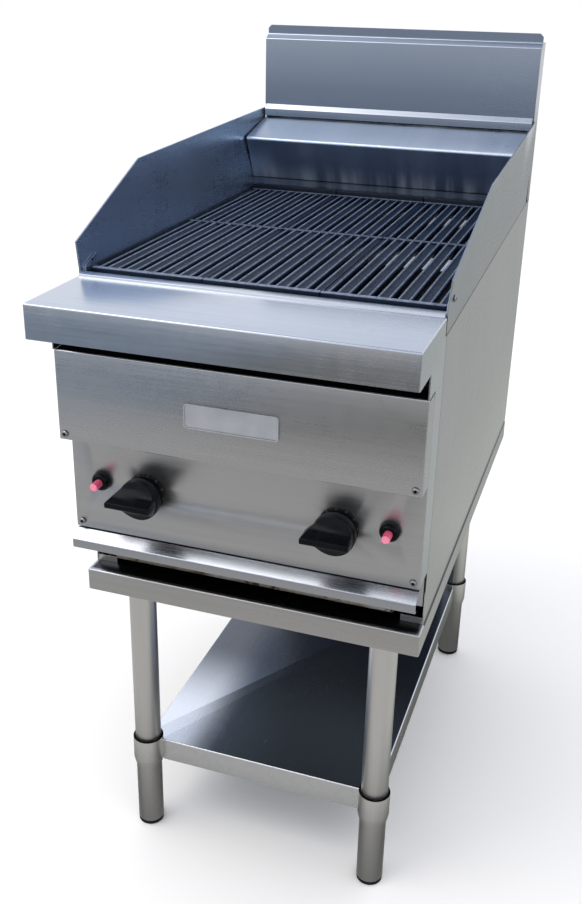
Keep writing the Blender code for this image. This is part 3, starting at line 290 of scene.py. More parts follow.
def make_cast_iron():
    """Seasoned casting: pitted and bluish, with a painted pale reflection along the rims of the
    bars and painted shade low on their sides.
    """
    n = Nodes("seasoned cast iron")
    pits = n.noise(n.place, scale=620.0, detail=3.0, rough=0.7)
    lumps = n.noise(n.place, scale=150.0, detail=4.0, rough=0.6)
    cloud = n.noise(n.place, scale=16.0, detail=4.0)
    along = n.noise(n.stretched((130.0, 9.0, 130.0)), detail=3.0)
    tone = n.mix(n.span(cloud, 0.35, 0.65), (0.003, 0.008, 0.020), (0.007, 0.014, 0.031))
    tone = n.mix(n.span(along, 0.50, 0.75, 0.0, 0.30), tone, (0.022, 0.034, 0.058))
    height = n.minus(n.axis("Z"), GRATE_TOP)
    # Painted reflection: the bars' rims are pale in patches, less so beside the middle rail.
    rims = n.span(height, -0.0014, -0.0004)
    below_stop = n.span(height, 0.0003, 0.0006, 1.0, 0.0)
    patches = n.span(lumps, 0.30, 0.60, 0.35, 0.95)
    from_rail = n.positive(n.minus(n.axis("Y"), back(GRATE_MIDDLE)))
    beside_rail = n.span(from_rail, 0.003, 0.0045, 0.45, 1.0)
    painted_reflection = n.times(rims, below_stop, patches, beside_rail)
    tone = n.mix(painted_reflection, tone, (0.20, 0.24, 0.32))
    tone = n.mix(n.span(height, 0.0005, 0.0015), tone, (0.004, 0.007, 0.014))
    # Painted shade: lower down, between the bars, their sides go near black.
    tone = n.mix(n.span(height, -0.009, -0.0045, 1.0, 0.0), tone, (0.002, 0.002, 0.002))
    gloss = n.plus(n.span(lumps, 0.35, 0.65, 0.34, 0.50), n.span(pits, 0.4, 0.7, -0.04, 0.10))
    relief = n.plus(n.times(pits, 0.5), lumps)
    n.tune("Specular IOR Level", 0.18)
    return n.wear(tone, gloss, n.bump(relief, 0.25, 0.0008))


def make_plastic(name, colour, rough):
    """Moulded plastic with a fine texture and handling shine."""
    n = Nodes(name)
    texture = n.noise(n.place, scale=900.0, detail=2.0)
    cloud = n.noise(n.place, scale=60.0, detail=4.0)
    tone = n.mix(n.span(cloud, 0.35, 0.68), scaled(colour, 0.85), scaled(colour, 1.25))
    gloss = n.span(cloud, 0.3, 0.7, rough - 0.08, rough + 0.10)
    n.tune("Specular IOR Level", 0.12)
    return n.wear(tone, gloss, n.bump(texture, 0.06, 0.0003))


def make_button_plastic():
    """Red plastic bleached to pink on its end and towards the light."""
    n = Nodes("faded red plastic")
    tip = n.span(n.axis("Y"), back(0.0051), back(0.0066), 1.0, 0.0, True)
    cloud = n.noise(n.place, scale=260.0, detail=4.0)
    tone = n.mix(tip, (0.66, 0.075, 0.15), (0.86, 0.22, 0.33))
    tone = n.mix(n.span(cloud, 0.5, 0.75, 0, 0.35), tone, (0.90, 0.36, 0.44))
    n.tune("Subsurface Weight", 0.15)
    n.tune("Subsurface Radius", (0.002, 0.0006, 0.0006))
    return n.wear(tone, n.span(cloud, 0.3, 0.7, 0.34, 0.52), n.bump(cloud, 0.05, 0.0003))


def make_brass():
    """Dull brass with darker patches."""
    n = Nodes("brass", 1.0)
    cloud = n.noise(n.place, scale=80.0, detail=5.0)
    tone = n.mix(n.span(cloud, 0.35, 0.7), (0.62, 0.46, 0.20), (0.36, 0.25, 0.12))
    return n.wear(tone, n.span(cloud, 0.3, 0.7, 0.28, 0.50), n.bump(cloud, 0.08, 0.0005))


def sooted(n):
    """Soot over browned steel: its clouds, its tone, and its gloss and bump."""
    cloud = n.noise(n.place, scale=14.0, detail=6.0, rough=0.65)
    fine = n.noise(n.place, scale=160.0, detail=4.0)
    tone = n.mix(n.span(cloud, 0.35, 0.52), (0.05, 0.047, 0.045), (0.17, 0.15, 0.14))
    return cloud, tone, (n.span(fine, 0.3, 0.7, 0.38, 0.65), n.bump(fine, 0.2, 0.0006))


def make_sooty_steel():
    """Steel round the flames: blued, browned and sooted."""
    n = Nodes("sooty steel", 0.9)
    cloud, tone, finish = sooted(n)
    return n.wear(n.mix(n.span(cloud, 0.55, 0.68), tone, (0.30, 0.30, 0.32)), *finish)


def make_firebox_steel():
    """Sooty walls; light that falls between the bars catches the top of the rear one."""
    n = Nodes("firebox steel", 0.9)
    _, tone, finish = sooted(n)
    high = n.span(n.spot("Z"), 0.828, 0.832)
    rear = n.span(n.spot("Y"), 0.30, 0.31)
    lit = n.times(high, rear, n.span(n.facing("Y"), -0.6, -0.9))
    tone = n.mix(lit, tone, (0.55, 0.58, 0.64))
    n.tune("Emission Color", n.mix(lit, (0.0, 0.0, 0.0), (0.50, 0.54, 0.62)))
    n.tune("Emission Strength", 0.55)
    return n.wear(tone, *finish)


def make_grease_pan():
    """Inside of the tray: burnt-on grease over steel."""
    n = Nodes("stained steel", 0.8)
    cloud = n.noise(n.place, scale=11.0, detail=6.0, rough=0.65)
    drops = n.noise(n.place, scale=70.0, detail=4.0)
    tone = n.mix(n.span(cloud, 0.38, 0.60), (0.36, 0.34, 0.31), (0.11, 0.07, 0.04))
    tone = n.mix(n.span(drops, 0.58, 0.66), tone, (0.035, 0.022, 0.014))
    return n.wear(tone, n.span(drops, 0.35, 0.7, 0.30, 0.60), n.bump(drops, 0.25, 0.0008))


def make_bezel_plastic():
    """Black disc with plain pale setting ticks round its rim."""
    n = Nodes("bezel plastic")
    across = n.minus(n.positive(n.axis("X")), KNOB_X)
    height = n.minus(n.axis("Z"), KNOB_Z)
    angle = n.math("ARCTAN2", height, across)
    ticks = n.span(n.math("SINE", n.times(angle, 12.0)), 0.93, 0.98)
    squares = n.plus(n.math("POWER", across, 2.0), n.math("POWER", height, 2.0))
    distance = n.math("SQRT", squares)
    ring = n.span(distance, 0.0232, 0.0236)
    cloud = n.noise(n.place, scale=90.0, detail=4.0)
    tone = n.mix(n.span(cloud, 0.35, 0.68), (0.004, 0.004, 0.005), (0.008, 0.008, 0.009))
    tone = n.mix(n.times(ticks, ring, 0.16), tone, (0.45, 0.44, 0.40))
    n.tune("Specular IOR Level", 0.12)
    return n.wear(tone, n.span(cloud, 0.3, 0.7, 0.30, 0.48), n.bump(cloud, 0.05, 0.0003))


def make_shadowed_steel():
    """Painted shade: near-black sheet for faces inside narrow gaps and recesses."""
    n = Nodes("shadowed steel")
    cloud = n.noise(n.place, scale=60.0, detail=4.0)
    tone = n.mix(n.span(cloud, 0.35, 0.68), (0.002, 0.002, 0.002), (0.006, 0.005, 0.005))
    n.tune("Specular IOR Level", 0.05)
    return n.wear(tone, n.span(cloud, 0.3, 0.7, 0.8, 0.95), n.bump(cloud, 0.1, 0.0004))


def make_satin_silver():
    """Satin silver paint of the name plate."""
    n = Nodes("satin silver", 0.35)
    flakes = n.noise(n.place, scale=1500.0, detail=2.0)
    cloud = n.noise(n.place, scale=40.0, detail=4.0)
    tone = n.mix(n.span(cloud, 0.35, 0.70), (0.43, 0.44, 0.45), (0.37, 0.38, 0.39))
    return n.wear(tone, n.span(flakes, 0.3, 0.7, 0.36, 0.50), n.bump(flakes, 0.05, 0.0002))


def make_support_steel():
    """Angle below the grates, whose web catches the light that falls between the bars."""
    n = Nodes("lit support steel", 0.4)
    cloud = n.noise(n.place, scale=30.0, detail=4.0)
    tone = n.mix(n.span(cloud, 0.35, 0.70), (0.60, 0.66, 0.78), (0.42, 0.46, 0.54))
    n.tune("Emission Color", tone)
    n.tune("Emission Strength", 0.60)
    return n.wear(tone, n.span(cloud, 0.3, 0.7, 0.35, 0.5), n.bump(cloud, 0.05, 0.0004))


def tint_side(n, tone):
    """Paler towards the stand; painted shade in the seams under the guard and at the ledge's
    cheek.
    """
    depth, height = n.spot("Y"), n.spot("Z")
    line = n.plus(n.times(depth, SIDE_SLOPE), SIDE_TOP - SIDE_SLOPE * back(SIDE_FRONT))
    under = n.minus(line, height)
    tone = n.mix(n.span(height, 0.48, 0.66, 0.8, 0.0), tone, (0.68, 0.675, 0.63))
    # Painted shade: near black along the seam under the guard.
    tone = n.mix(n.span(under, 0.0013, 0.0019, 0.95, 0.0), tone, PAINTED_SEAM_SHADE)
    # Painted shade: near black along the front edge, beside the ledge's cheek.
    front = n.span(depth, back(SIDE_FRONT + 0.0011), back(SIDE_FRONT + 0.0016), 0.90, 0.0)
    above = n.span(height, CONTROL_BOTTOM + 0.0005, CONTROL_BOTTOM + 0.0010)
    return n.mix(n.times(front, above), tone, PAINTED_SEAM_SHADE)


def tint_shelf(n, tone):
    """Painted reflection: bright towards the open left side, dark elsewhere, and dimmer further
    back.
    """
    strip = n.span(n.spot("X"), -0.135, -0.065, 0.0, 1.0, True)
    deep = n.span(n.spot("Y"), -0.20, 0.0, 0.0, 1.0, True)
    top = n.span(n.facing("Z"), 0.90, 0.98)
    # Painted reflection on the shelf's top: bright on the left strip, dark elsewhere.
    painted_reflection = n.mix(deep, (0.20, 0.24, 0.31), (0.085, 0.10, 0.13))
    bright = n.mix(deep, (1.0, 1.0, 1.0), (0.16, 0.165, 0.175))
    return n.mix(top, tone, n.mix(strip, bright, painted_reflection))


def tint_stand(n, tone):
    """Black on the top in front of the unit and under and behind it; painted shade in the seam
    round it.
    """
    top = n.span(n.facing("Z"), 0.90, 0.98)
    inside = n.span(n.spot("Y"), back(0.052), back(0.056))
    inside = n.times(inside, n.span(n.positive(n.spot("X")), 0.2245, 0.2275, 1.0, 0.0))
    # Painted shade: the top's folds go dark along the seam round the unit.
    seam = n.span(n.spot("Z"), STAND_TOP - 0.0030, STAND_TOP - 0.0024)
    seam = n.times(seam, n.span(n.spot("Y"), back(SIDE_FRONT), back(SIDE_FRONT + 0.0015)))
    seam = n.times(seam, n.span(n.facing("Z"), -0.3, -0.1))
    tone = n.mix(n.times(seam, 0.9), tone, (0.03, 0.033, 0.035))
    return n.mix(n.times(top, inside, 0.93), tone, (0.02, 0.022, 0.028))


def tint_back(n, tone):
    """Painted shade in the gap beside the guard's rear edge."""
    gap = n.span(n.spot("Y"), back(0.7540), back(0.7548), 1.0, 0.0)
    gap = n.times(gap, n.span(n.spot("Z"), 0.9985, 0.9995, 1.0, 0.0))
    return n.mix(n.times(gap, 0.95), tone, PAINTED_SEAM_SHADE)


def tint_guard(n, tone):
    """The side towards the fire is duller and has a painted bluish reflection, darker in front and
    paler towards the rear.
    """
    inward = n.span(n.times(n.facing("X"), n.axis("X")), -0.05, -0.02, 1.0, 0.0)
    rear = n.span(n.axis("Y"), back(0.15), back(0.70))
    n.tune("Metallic", n.span(inward, 0.0, 1.0, 1.0, 0.965))
    # Painted reflection: bluish, darker in front and paler towards the rear, with darker streaks.
    painted_blue_reflection = n.mix(rear, (0.42, 0.53, 0.72), (0.72, 0.86, 1.0))
    streaks = n.noise(n.stretched((14.0, 14.0, 1.5)), detail=3.0)
    painted_blue_reflection = n.mix(n.span(streaks, 0.35, 0.70, 0.0, 0.35), painted_blue_reflection, (0.30, 0.38, 0.52))
    return n.mix(inward, tone, painted_blue_reflection)


def tint_riser(n, tone):
    """Painted shade: upright faces are darker and bluer; the folds stay bright."""
    # Painted shade on the faces that stand upright.
    upright = n.span(n.facing("Z"), 0.02, 0.30, 1.0, 0.0)
    return n.mix(upright, tone, (0.195, 0.235, 0.30))


# ------------------------------------------------------------ mesh utilities
def finished(name, mesh, materials, body=BODY, stands_for=(), sharp=38):
    """The mesh as a piece that rides on a body and stands for CAD nodes."""
    obj = added(name, mesh)
    slots = [face.material_index for face in mesh.polygons]
    mesh.materials.clear()
    for material in materials if isinstance(materials, (list, tuple)) else [materials]:
        mesh.materials.append(material)
    mesh.polygons.foreach_set("material_index", slots)
    mesh.shade_smooth()
    mesh.set_sharp_from_angle(angle=math.radians(sharp))
    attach(obj, body)
    if stands_for:
        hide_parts(*stands_for)
    return obj


def mesh_of(bm):
    mesh = bpy.data.meshes.new("shape")
    bm.to_mesh(mesh)
    bm.free()
    return mesh


def applied(mesh, *modifiers):
    """The mesh after modifiers, each given as (kind, {setting: value})."""
    obj = added("work", mesh)
    for kind, settings in modifiers:
        modifier = obj.modifiers.new(kind, kind)
        for key, value in settings.items():
            setattr(modifier, key, value)
    graph = bpy.context.evaluated_depsgraph_get()
    result = bpy.data.meshes.new_from_object(obj.evaluated_get(graph))
    bpy.data.objects.remove(obj)
    return result


def thickened(mesh, thickness=SHEET):
    settings = {"thickness": thickness, "offset": -1.0, "use_even_offset": True}
    return applied(mesh, ("SOLIDIFY", settings))


def combined(operation, mesh, *tools):
    """Boolean of meshes that are all in the row frame."""
    for tool in tools:
        helper = added("tool", tool)
        settings = {"operation": operation, "solver": "EXACT", "object": helper}
        mesh = applied(mesh, ("BOOLEAN", settings))
        bpy.data.objects.remove(helper)
    return mesh


def joined(*meshes):
    bm = bmesh.new()
    for mesh in meshes:
        bm.from_mesh(mesh)
    return mesh_of(bm)


def softened(mesh, width=0.0004, segments=2, angle=50):
    weld = ("WELD", {"merge_threshold": WELD})
    bevel = {
        "width": width,
        "segments": segments,
        "limit_method": "ANGLE",
        "angle_limit": math.radians(angle),
        "use_clamp_overlap": True,
    }
    return applied(mesh, weld, ("BEVEL", bevel))


def filleted(points, radii, steps=4):
    """Polyline with its inner corners rounded to the given outside radii."""
    if isinstance(radii, float):
        radii = [radii] * (len(points) - 2)
    result = [Vector(points[0])]
    for index, radius in enumerate(radii, start=1):
        here = Vector(points[index])
        one = (Vector(points[index - 1]) - here).normalized()
        two = (Vector(points[index + 1]) - here).normalized()
        bend = one.angle(two)
        reach = radius / math.tan(bend / 2)
        centre = here + (one + two).normalized() * (radius / math.sin(bend / 2))
        start = here + one * reach - centre
        end = here + two * reach - centre
        sweep = start.angle_signed(end)
        for step in range(steps + 1):
            part = sweep * step / steps
            result.append(centre + Matrix.Rotation(-part, 2) @ start)
    result.append(Vector(points[-1]))
    return result


def bent_sheet(profile, half_width, radii=FOLD, thickness=SHEET):
    """Sheet along X bent to a (depth, z) profile; it thickens to the right of its way."""
    bm = bmesh.new()
    points = filleted(profile, radii)
    near = [bm.verts.new((-half_width, back(p.x), p.y)) for p in points]
    far = [bm.verts.new((half_width, back(p.x), p.y)) for p in points]
    for index in range(len(points) - 1):
        bm.faces.new((far[index], far[index + 1], near[index + 1], near[index]))
    return thickened(mesh_of(bm), thickness)


def block(x, y, z):
    bm = bmesh.new()
    bmesh.ops.create_cube(bm, size=1.0)
    for vert in bm.verts:
        vert.co = (
            x[0] if vert.co.x < 0 else x[1],
            y[0] if vert.co.y < 0 else y[1],
            z[0] if vert.co.z < 0 else z[1],
        )
    return mesh_of(bm)


def shell(x, y, z, open_sides, radius=FOLD, segments=4):
    """Folded pan: a block's skin, open on the given sides, with rounded folds."""
    bm = bmesh.new()
    bm.from_mesh(block(x, y, z))
    bm.normal_update()
    gone = [f for f in bm.faces if any(f.normal.dot(Vector(way)) > 0.9 for way in open_sides)]
    bmesh.ops.delete(bm, geom=gone, context="FACES")
    folds = [e for e in bm.edges if len(e.link_faces) == 2]
    bevel = {"offset": radius, "segments": segments, "profile": 0.5, "affect": "EDGES"}
    bmesh.ops.bevel(bm, geom=folds, **bevel)
    return thickened(mesh_of(bm))


def turned(profile, place, axis=(0, 0, 1), steps=48):
    """Turned shape from (radius, height) points that run down its outer side."""
    bm = bmesh.new()
    rings = []
    for radius, height in profile:
        if radius < 1e-6:
            rings.append([bm.verts.new((0, 0, height))] * steps)
            continue
        ring = []
        for step in range(steps):
            angle = 2 * math.pi * step / steps
            spot = (radius * math.cos(angle), radius * math.sin(angle), height)
            ring.append(bm.verts.new(spot))
        rings.append(ring)
    for upper, lower in zip(rings, rings[1:]):
        for step in range(steps):
            after = (step + 1) % steps
            corners = [upper[step], lower[step], lower[after], upper[after]]
            unique = list(dict.fromkeys(corners))
            if len(unique) > 2:
                bm.faces.new(unique)
    turn = Vector((0, 0, 1)).rotation_difference(Vector(axis)).to_matrix().to_4x4()
    bmesh.ops.transform(bm, matrix=Matrix.Translation(place) @ turn, verts=bm.verts)
    return mesh_of(bm)


def prism(outline, axis, low, high):
    """Outline extruded along an axis; its points are (depth, z) for X and (x, z) for Y."""
    bm = bmesh.new()
    rows = []
    for level in (low, high):
        if axis == "X":
            rows.append([bm.verts.new((level, back(u), v)) for u, v in outline])
        else:
            rows.append([bm.verts.new((u, level, v)) for u, v in outline])
    bm.faces.new(rows[0])
    bm.faces.new(rows[1][::-1])
    count = len(outline)
    for index in range(count):
        after = (index + 1) % count
        bm.faces.new((rows[0][after], rows[0][index], rows[1][index], rows[1][after]))
    bmesh.ops.recalc_face_normals(bm, faces=bm.faces)
    return mesh_of(bm)


def painted(mesh, test, index=1):
    """Gives the faces whose centre passes the test another material slot."""
    for face in mesh.polygons:
        if test(face.center, face.normal):
            face.material_index = index
    return mesh


def dress(node, material, width=0.0003):
    """A CAD node keeps its shape and gets soft edges and a finished material."""
    obj = NODES[node]
    obj.data.materials.clear()
    obj.data.materials.append(material)
    weld = obj.modifiers.new("weld", "WELD")
    weld.merge_threshold = WELD
    if width:
        bevel = obj.modifiers.new("edges", "BEVEL")
        bevel.width = width
        bevel.segments = 2
        bevel.limit_method = "ANGLE"
        bevel.angle_limit = math.radians(50)
        bevel.harden_normals = True


# ----------------------------------------------------------------- materials
BLUISH = (0.60, 0.62, 0.65)
NEUTRAL = (0.60, 0.60, 0.60)
LEDGE = steel("ledge steel", BLUISH, 0.24, "X", seed=1.0)
PANEL = steel("panel steel", NEUTRAL, 0.28, "X", seed=2.0)
CONTROL = steel("control panel steel", (0.60, 0.595, 0.59), 0.34, "X", seed=3.0)
RISER = steel("riser steel", BLUISH, 0.30, "X", seed=4.0, tint=tint_riser)
REAR = steel("rear steel", NEUTRAL, 0.24, "Z", 0.03, seed=5.0)
CHASSIS = steel("chassis steel", (0.51, 0.51, 0.50), 0.24, "Z", 0.03, seed=5.5, tint=tint_side)
GUARD = steel("guard steel", (0.40, 0.42, 0.445), 0.28, "Y", seed=6.0, tint=tint_guard)
STAND = steel("stand steel", (0.57, 0.56, 0.54), 0.28, "X", seed=7.0, tint=tint_stand)
GREY = (0.37, 0.375, 0.38)
RISER_BACK = steel("riser back steel", GREY, 0.26, "Z", 0.03, seed=4.5, tint=tint_back)
SHELF = steel("shelf steel", (0.72, 0.72, 0.72), 0.24, "Y", seed=8.0, tint=tint_shelf)
TUBE = steel("tube steel", (0.80, 0.775, 0.745), 0.30, "Z", 0.04, seed=9.0)
LIP = steel("lip steel", (0.52, 0.535, 0.56), 0.25, "X", 0.03, seed=10.0)
HOOD = make_hood_steel()
IRON = make_cast_iron()
BLACK = make_plastic("black plastic", (0.003, 0.0035, 0.0045), 0.24)
BEZEL = make_bezel_plastic()
SHADOWED = make_shadowed_steel()
FOOT = make_plastic("foot plastic", (0.010, 0.010, 0.011), 0.5)
RED = make_button_plastic()
BRASS = make_brass()
SOOTY = make_sooty_steel()
FIREBOX = make_firebox_steel()
GREASE = make_grease_pan()
BADGE = make_satin_silver()
SUPPORT = make_support_steel()
SCREW = steel("screw steel", (0.34, 0.34, 0.34), 0.30, "X", 0.03)


# --------------------------------------------------------------------- stand
def make_stand():
    """Stand top with its leg sockets, the legs and the feet."""
    top = shell(
        (-0.230, 0.230),
        (back(0.049), back(0.785)),
        (STAND_TOP - 0.031, STAND_TOP),
        [(0, 0, -1)],
    )
    sockets = []
    for end, depth in LEG_DEPTHS:
        for side, sign in SIDES:
            place = (sign * LEG_X, back(depth), 0)
            ring = [(0.0222, 0.4622), (0.0222, 0.436), (0.0194, 0.436), (0.0194, 0.4622)]
            sockets.append(turned(ring, place))
            leg = [
                (LEG_RADIUS, 0.4612), (LEG_RADIUS, 0.0071), (0.0186, 0.0065),
                (0.0175, 0.0065), (0.0175, 0.022), (0.0053, 0.022), (0.0053, 0.044),
                (0.0175, 0.044), (0.0175, 0.4612), (LEG_RADIUS, 0.4612),
            ]
            node = f"leg_{end}_{side}"
            finished(f"{node}_tube", turned(leg, place), TUBE, stands_for=[node])
            foot = [
                (0, 0.062), (0.004, 0.062), (0.005, 0.061), (0.005, 0.006),
                (0.0180, 0.006), (0.0186, 0.0054), (0.0186, 0.0012), (0.0174, 0),
                (0, 0),
            ]
            node = f"foot_{end}_{side}"
            finished(f"{node}_pad", turned(foot, place), FOOT, node, [node])
    finished("stand_top_sheet", joined(top, *sockets), STAND, stands_for=["stand_top"])


def make_undershelf():
    """Folded shelf, notched for the sleeves round the legs."""
    bottom = SHELF_TOP - SHELF_SKIRT
    shelf = shell((-0.178, 0.178), (back(0.106), back(0.699)), (bottom, SHELF_TOP), [(0, 0, -1)])
    sleeves = []
    for _, depth in LEG_DEPTHS:
        for _, sign in SIDES:
            place = (sign * LEG_X, back(depth), 0)
            notch = turned([(0, 0.17), (0.0216, 0.17), (0.0216, 0.10), (0, 0.10)], place)
            shelf = combined("DIFFERENCE", shelf, notch)
            sleeve = [
                (0.0194, 0.1590), (0.0218, 0.1590), (0.0223, 0.1585), (0.0223, 0.1215),
                (0.0219, 0.1203), (0.0206, 0.1138), (0.0204, 0.1130), (0.0194, 0.1130),
                (0.0194, 0.1590),
            ]
            sleeves.append(turned(sleeve, place))
    finished("undershelf_sheet", shelf, SHELF, stands_for=["undershelf"])
    sleeves = joined(*sleeves)
    # Painted shadow: the sleeves' tops, where the legs go in, take the near-black slot.
    painted(sleeves, lambda centre, normal: centre.z > 0.1586 and normal.z > 0.5)
    finished("undershelf_sleeves", sleeves, [TUBE, SHADOWED])


# ------------------------------------------------------------- front pieces
def make_ledge():
    """Folded ledge with end cheeks that run down behind the front panels."""
    bottom = LEDGE_TOP - 0.0425
    body = shell(
        (-HALF, HALF),
        (back(-0.059), back(0.0662)),
        (bottom, LEDGE_TOP),
        [(0, 0, -1), (0, 1, 0)],
    )
    hem_profile = [(-0.0455, 0.82475), (-0.0575, 0.82475), (-0.0575, 0.8262)]
    hem = bent_sheet(hem_profile, HALF - SHEET, 0.0005, 0.0012)
    rise = 0.003
    rear_profile = [
        (0.0592, LEDGE_TOP - 0.0002), (0.0657, LEDGE_TOP - 0.0002),
        (0.0664, LEDGE_TOP + rise), (0.083, LEDGE_TOP + rise),
        (0.083, LEDGE_TOP - 0.030),
    ]
    upstand = bent_sheet(rear_profile, INSIDE_HALF, [0.0005, 0.0006, 0.0018])
    cheek = [
        (-0.002, bottom), (-0.002, UPPER_TOP + GAP), (0.0303, UPPER_TOP + GAP),
        (0.0303, CONTROL_BOTTOM), (SIDE_FRONT - GAP, CONTROL_BOTTOM),
        (SIDE_FRONT - GAP, SIDE_TOP), (0.0662, SIDE_TOP), (0.0662, bottom),
    ]
    tab = [(0.0826, 0.847), (0.111, 0.847), (0.111, 0.8865), (0.0826, 0.8775)]
    extras = [hem, upstand]
    for _, sign in SIDES:
        extras.append(prism(cheek, "X", *mirrored(sign, HALF - SHEET, HALF)))
        extras.append(prism(tab, "X", *mirrored(sign, INSIDE_HALF - SHEET, INSIDE_HALF)))
    ledge = painted(joined(body, *extras), lambda centre, normal: centre.y > back(0.0828))
    finished("ledge_sheet", ledge, [LEDGE, GUARD], stands_for=["front_ledge"])


def make_panels():
    """Lower and upper front panels; the edges inside the air gap get a painted shadow."""
    depths = (back(CONTROL_FACE), back(CONTROL_FACE + SHEET))
    lower = block((-HALF, HALF), depths, (CONTROL_BOTTOM, 0.785))
    stiffener = block((-0.200, 0.200), (back(0.0296), back(0.0385)), (0.5414, 0.5425))
    for _, sign in SIDES:
        for x, z, radius in ((KNOB_X, KNOB_Z, 0.010), (IGNITER_X, IGNITER_Z, 0.0094)):
            profile = [(0, 0.01), (radius, 0.01), (radius, -0.01), (0, -0.01)]
            hole = turned(profile, (sign * x, back(0.029), z), (0, 1, 0))
            lower = combined("DIFFERENCE", lower, hole)
    lower = joined(softened(lower), stiffener)
    finished("control_panel_sheet", lower, CONTROL, stands_for=["control_panel"])
    depths = (back(0), back(CONTROL_FACE - GAP))
    upper = shell((-HALF, HALF), depths, (0.6765, UPPER_TOP), [(0, 1, 0)], radius=0.0016)
    # Painted shadow: the upper panel's top return, inside the air gap, takes the near-black slot.
    painted(upper, lambda centre, normal: centre.z > UPPER_TOP - 0.002 and centre.y > back(0.0022))
    finished("upper_panel_sheet", upper, [PANEL, SHADOWED], stands_for=["upper_front_panel"])


def rounded_outline(half_x, half_z, radius, centre_z, steps=6):
    """Rectangle with round corners, as (x, z) points."""
    points = []
    for sx, sz, start in ((1, 1, 0), (-1, 1, 90), (-1, -1, 180), (1, -1, 270)):
        for step in range(steps + 1):
            angle = math.radians(start + 90 * step / steps)
            x = sx * (half_x - radius) + radius * math.cos(angle)
            z = centre_z + sz * (half_z - radius) + radius * math.sin(angle)
            points.append((x, z))
    return points


def make_badge():
    """Blank plate with a raised rim round a sunk field."""
    rear = back(-GAP)
    plate = prism(rounded_outline(0.059, 0.01575, 0.0040, BADGE_Z), "Y", rear - 0.0030, rear)
    plate = softened(plate, 0.0007, 3)
    sunk = rounded_outline(0.0572, 0.01395, 0.0028, BADGE_Z)
    field = prism(sunk, "Y", rear - 0.0040, rear - 0.0024)
    plate = combined("DIFFERENCE", plate, field)
    # Painted shade: the sunk field's wall takes the near-black slot.
    wall = painted(plate, lambda centre, normal: abs(normal.y) < 0.3 and centre.y < rear - 0.0023)
    finished("badge_blank", wall, [BADGE, SHADOWED], stands_for=["badge_plate"])


# --------------------------------------------------- hood and riser
def make_riser():
    """Front sheet: joggled foot, face and leaning step, and a lip with clipped corners."""
    foot = RISER_FACE - 0.0065
    top = 1.1105
    lip_foot = 1.1200
    back_step = RISER_FACE + 0.0125
    joggle = [(foot, 0.986), (foot, 0.9975), (RISER_FACE, 1.0045), (RISER_FACE, 1.0052)]
    lower = bent_sheet(joggle, INSIDE_HALF, [0.0015, 0.0004])
    step = [(back_step, top + 0.0065), (back_step, lip_foot)]
    face = [(RISER_FACE, 1.0052), (RISER_FACE, top), *step]
    upper = bent_sheet(face, HALF, [0.0018, 0.0018])
    clip = 0.005
    lip = [
        (-HALF, lip_foot), (HALF, lip_foot), (HALF, RISER_TOP - clip),
        (HALF - clip, RISER_TOP), (-HALF + clip, RISER_TOP), (-HALF, RISER_TOP - clip),
    ]
    edge = prism(lip, "Y", back(back_step), back(back_step + SHEET))
    sheet = joined(lower, upper, edge)
    finished("riser_front_sheet", sheet, RISER, stands_for=["riser_front"])
    dress("riser_back", RISER_BACK, 0.0004)


def make_hood():
    """Strip behind the grates, leaning wall and sloping deflector, from one sheet."""
    profile = [
        (0.678, 0.8738), (0.678, 0.8898), (0.676, 0.8913), (0.6406, 0.9606),
        (0.737, 0.984),
    ]
    sheet = bent_sheet(profile, INSIDE_HALF, [0.0006, 0.0010, 0.0045])
    finished("flue_hood_sheet", sheet, HOOD, stands_for=["flue_hood"])


# ------------------------------------------------------------------- grates
def half_bar(outer):
    """Right half of a bar: trough bottom from outer, rim, corner rounded by wear and narrowing
    side.
    """
    top = 0.0086
    rim = 0.0058
    points = []
    steps = 4
    for step in range(steps + 1):
        across = rim * step / steps
        if across >= outer:
            points.append((across, -0.0034 + 0.0030 * (across / rim) ** 2.5))
    if outer < 0:
        points.insert(0, (outer, -0.0034))
    points += [(rim + 0.0004, -0.0001), (top - 0.0016, 0), (top - 0.0005, -0.0012)]
    points += [(top, -0.0028), (top, -0.0060), (0.0058, -0.0110), (0.0032, -0.0142)]
    return points


def make_grate(label, centre_x):
    """Five full bars and a half one along each side, cast between three rails."""
    node = f"grate_{label}"
    half = GRATE_WIDTH / 2
    pieces = []
    for near, far, low, top in (
        (GRATE_FRONT, GRATE_FRONT + 0.008, GRATE_FOOT, GRATE_TOP),
        (GRATE_MIDDLE - 0.004, GRATE_MIDDLE + 0.004, GRATE_FOOT + 0.001, GRATE_TOP - 0.0004),
        (GRATE_REAR - 0.012, GRATE_REAR, GRATE_FOOT, GRATE_TOP + 0.007),
    ):
        rail = block((centre_x - half, centre_x + half), (back(near), back(far)), (low, top))
        pieces.append(softened(rail, 0.0014, 3))
    start, end = back(GRATE_FRONT + 0.0045), back(GRATE_REAR - 0.0045)
    right = half_bar(0)
    whole = right + [(-u, v) for u, v in reversed(right[1:])]
    for index in range(5):
        x = centre_x + (index - 2) * GRATE_PITCH
        pieces.append(prism([(x + u, GRATE_TOP + v) for u, v in whole], "Y", start, end))
    middle = 3 * GRATE_PITCH
    outer = middle - half + 0.0004
    for _, sign in SIDES:
        x = centre_x + sign * middle
        section = half_bar(outer) + [(outer, -0.0142)]
        pieces.append(prism([(x - sign * u, GRATE_TOP + v) for u, v in section], "Y", start, end))
    finished(f"{node}_casting", joined(*pieces), IRON, node, [node], sharp=50)


